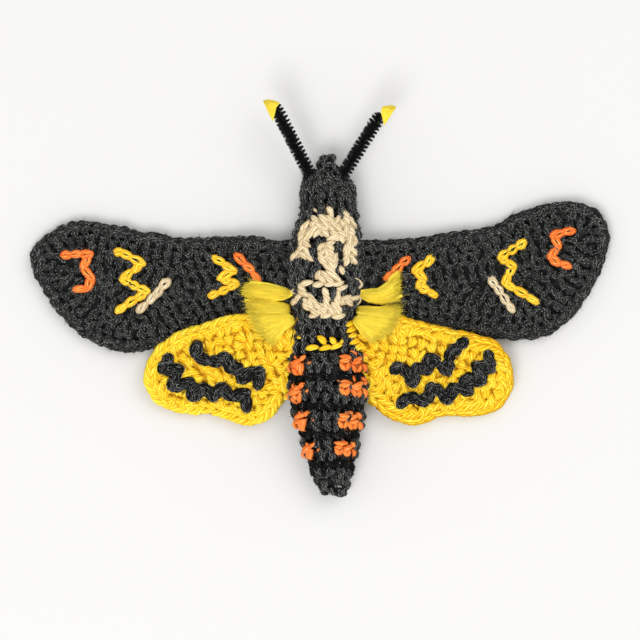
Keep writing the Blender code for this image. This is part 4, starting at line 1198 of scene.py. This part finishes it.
def wisp(side, axis, upwards):
    """The yellow wisp at a stem's tip, from its foot out to its frayed end."""
    foot, side_on, outer, inner = (np.array(corner) for corner in ANTENNA_TIPS[side])
    share = rng.uniform(0, 1, (WISP_FIBRES, 1))
    start = foot + (side_on - foot) * share + upwards * rng.uniform(-1.6, 0.2, (WISP_FIBRES, 1))
    end = outer + (inner - outer) * share + rng.normal(0, 0.16, (WISP_FIBRES, 3))
    end = end + axis * WISP_CROWN * np.sin(math.pi * share)
    end = start + (end - start) * rng.uniform(0.86, 1.03, (WISP_FIBRES, 1))
    bend = rng.normal(0, 0.2, (WISP_FIBRES, 1, 3))
    t = np.linspace(0, 1, 5)[None, :, None]
    paths = start[:, None] + (end - start)[:, None] * t + bend * t * (1 - t)
    radii = WISP_RADIUS * rng.uniform(0.7, 1.3, (WISP_FIBRES, 1)) * np.array([0.8, 1, 1, 0.8, 0.4])
    return tubes(paths, radii, upwards)


def make_antennae():
    """Chenille stems: a twisted wire with bristles all round, and a yellow wisp on top."""
    for side, (base, top) in ANTENNAE.items():
        base, top = np.array(base), np.array(top)
        length = float(np.linalg.norm(top - base))
        axis = (top - base) / length
        sideways = unit(np.cross(axis, UP))
        upwards = np.cross(sideways, axis)
        line = (base + (top - base) * np.linspace(0, 1, 24)[:, None])[None]
        wire = tubes(line, np.full((1, 24), WIRE_RADIUS), upwards, "wire")
        pile = bristles(base, axis, length, sideways)
        chenille = "chenille_black"
        strand_piece(f"chenille_{side}", [wire, pile], chenille, chenille, f"antenna_{side}")
        fibre = wisp(side, axis, upwards)
        roving = "roving_yellow"
        strand_piece(f"wisp_{side}", [fibre], roving, roving, f"antenna_tip_{side}")


def make_stage():
    bpy.ops.mesh.primitive_plane_add(size=FLOOR_SIZE)
    floor = bpy.context.object
    floor.name = "floor"
    material, tree = new_material("floor_white")
    set_inputs(tree.nodes["Principled BSDF"], {"Base Color": FLOOR_COLOUR, "Roughness": 0.9})
    floor.data.materials.append(material)


def make_camera_and_lights():
    scene = bpy.context.scene
    camera_data = bpy.data.cameras.new("camera")
    camera_data.sensor_width = SENSOR
    camera_data.lens = SENSOR * CAMERA_HEIGHT / PICTURE_WIDTH
    camera = add_object("camera", camera_data)
    camera.location = (0, CAMERA_Y, CAMERA_HEIGHT)
    scene.camera = camera
    for name, place, size, power in LIGHTS:
        light_data = bpy.data.lights.new(name, "AREA")
        light_data.size = size
        light_data.energy = power
        light = add_object(name, light_data)
        light.location = place
        x, y, z = place
        light.rotation_euler = (math.atan2(math.hypot(x, y), z), 0, math.atan2(x, -y))
    world = bpy.data.worlds.new("studio")
    world.use_nodes = True
    studio = {"Color": STUDIO_COLOUR, "Strength": STUDIO_STRENGTH}
    set_inputs(world.node_tree.nodes["Background"], studio)
    scene.world = world
    scene.view_settings.view_transform = "Standard"


make_camera_and_lights()
make_stage()
for wing in OUTLINES:
    make_wing(wing)
make_body(make_body_marks())
make_chains()
make_tufts()
make_antennae()
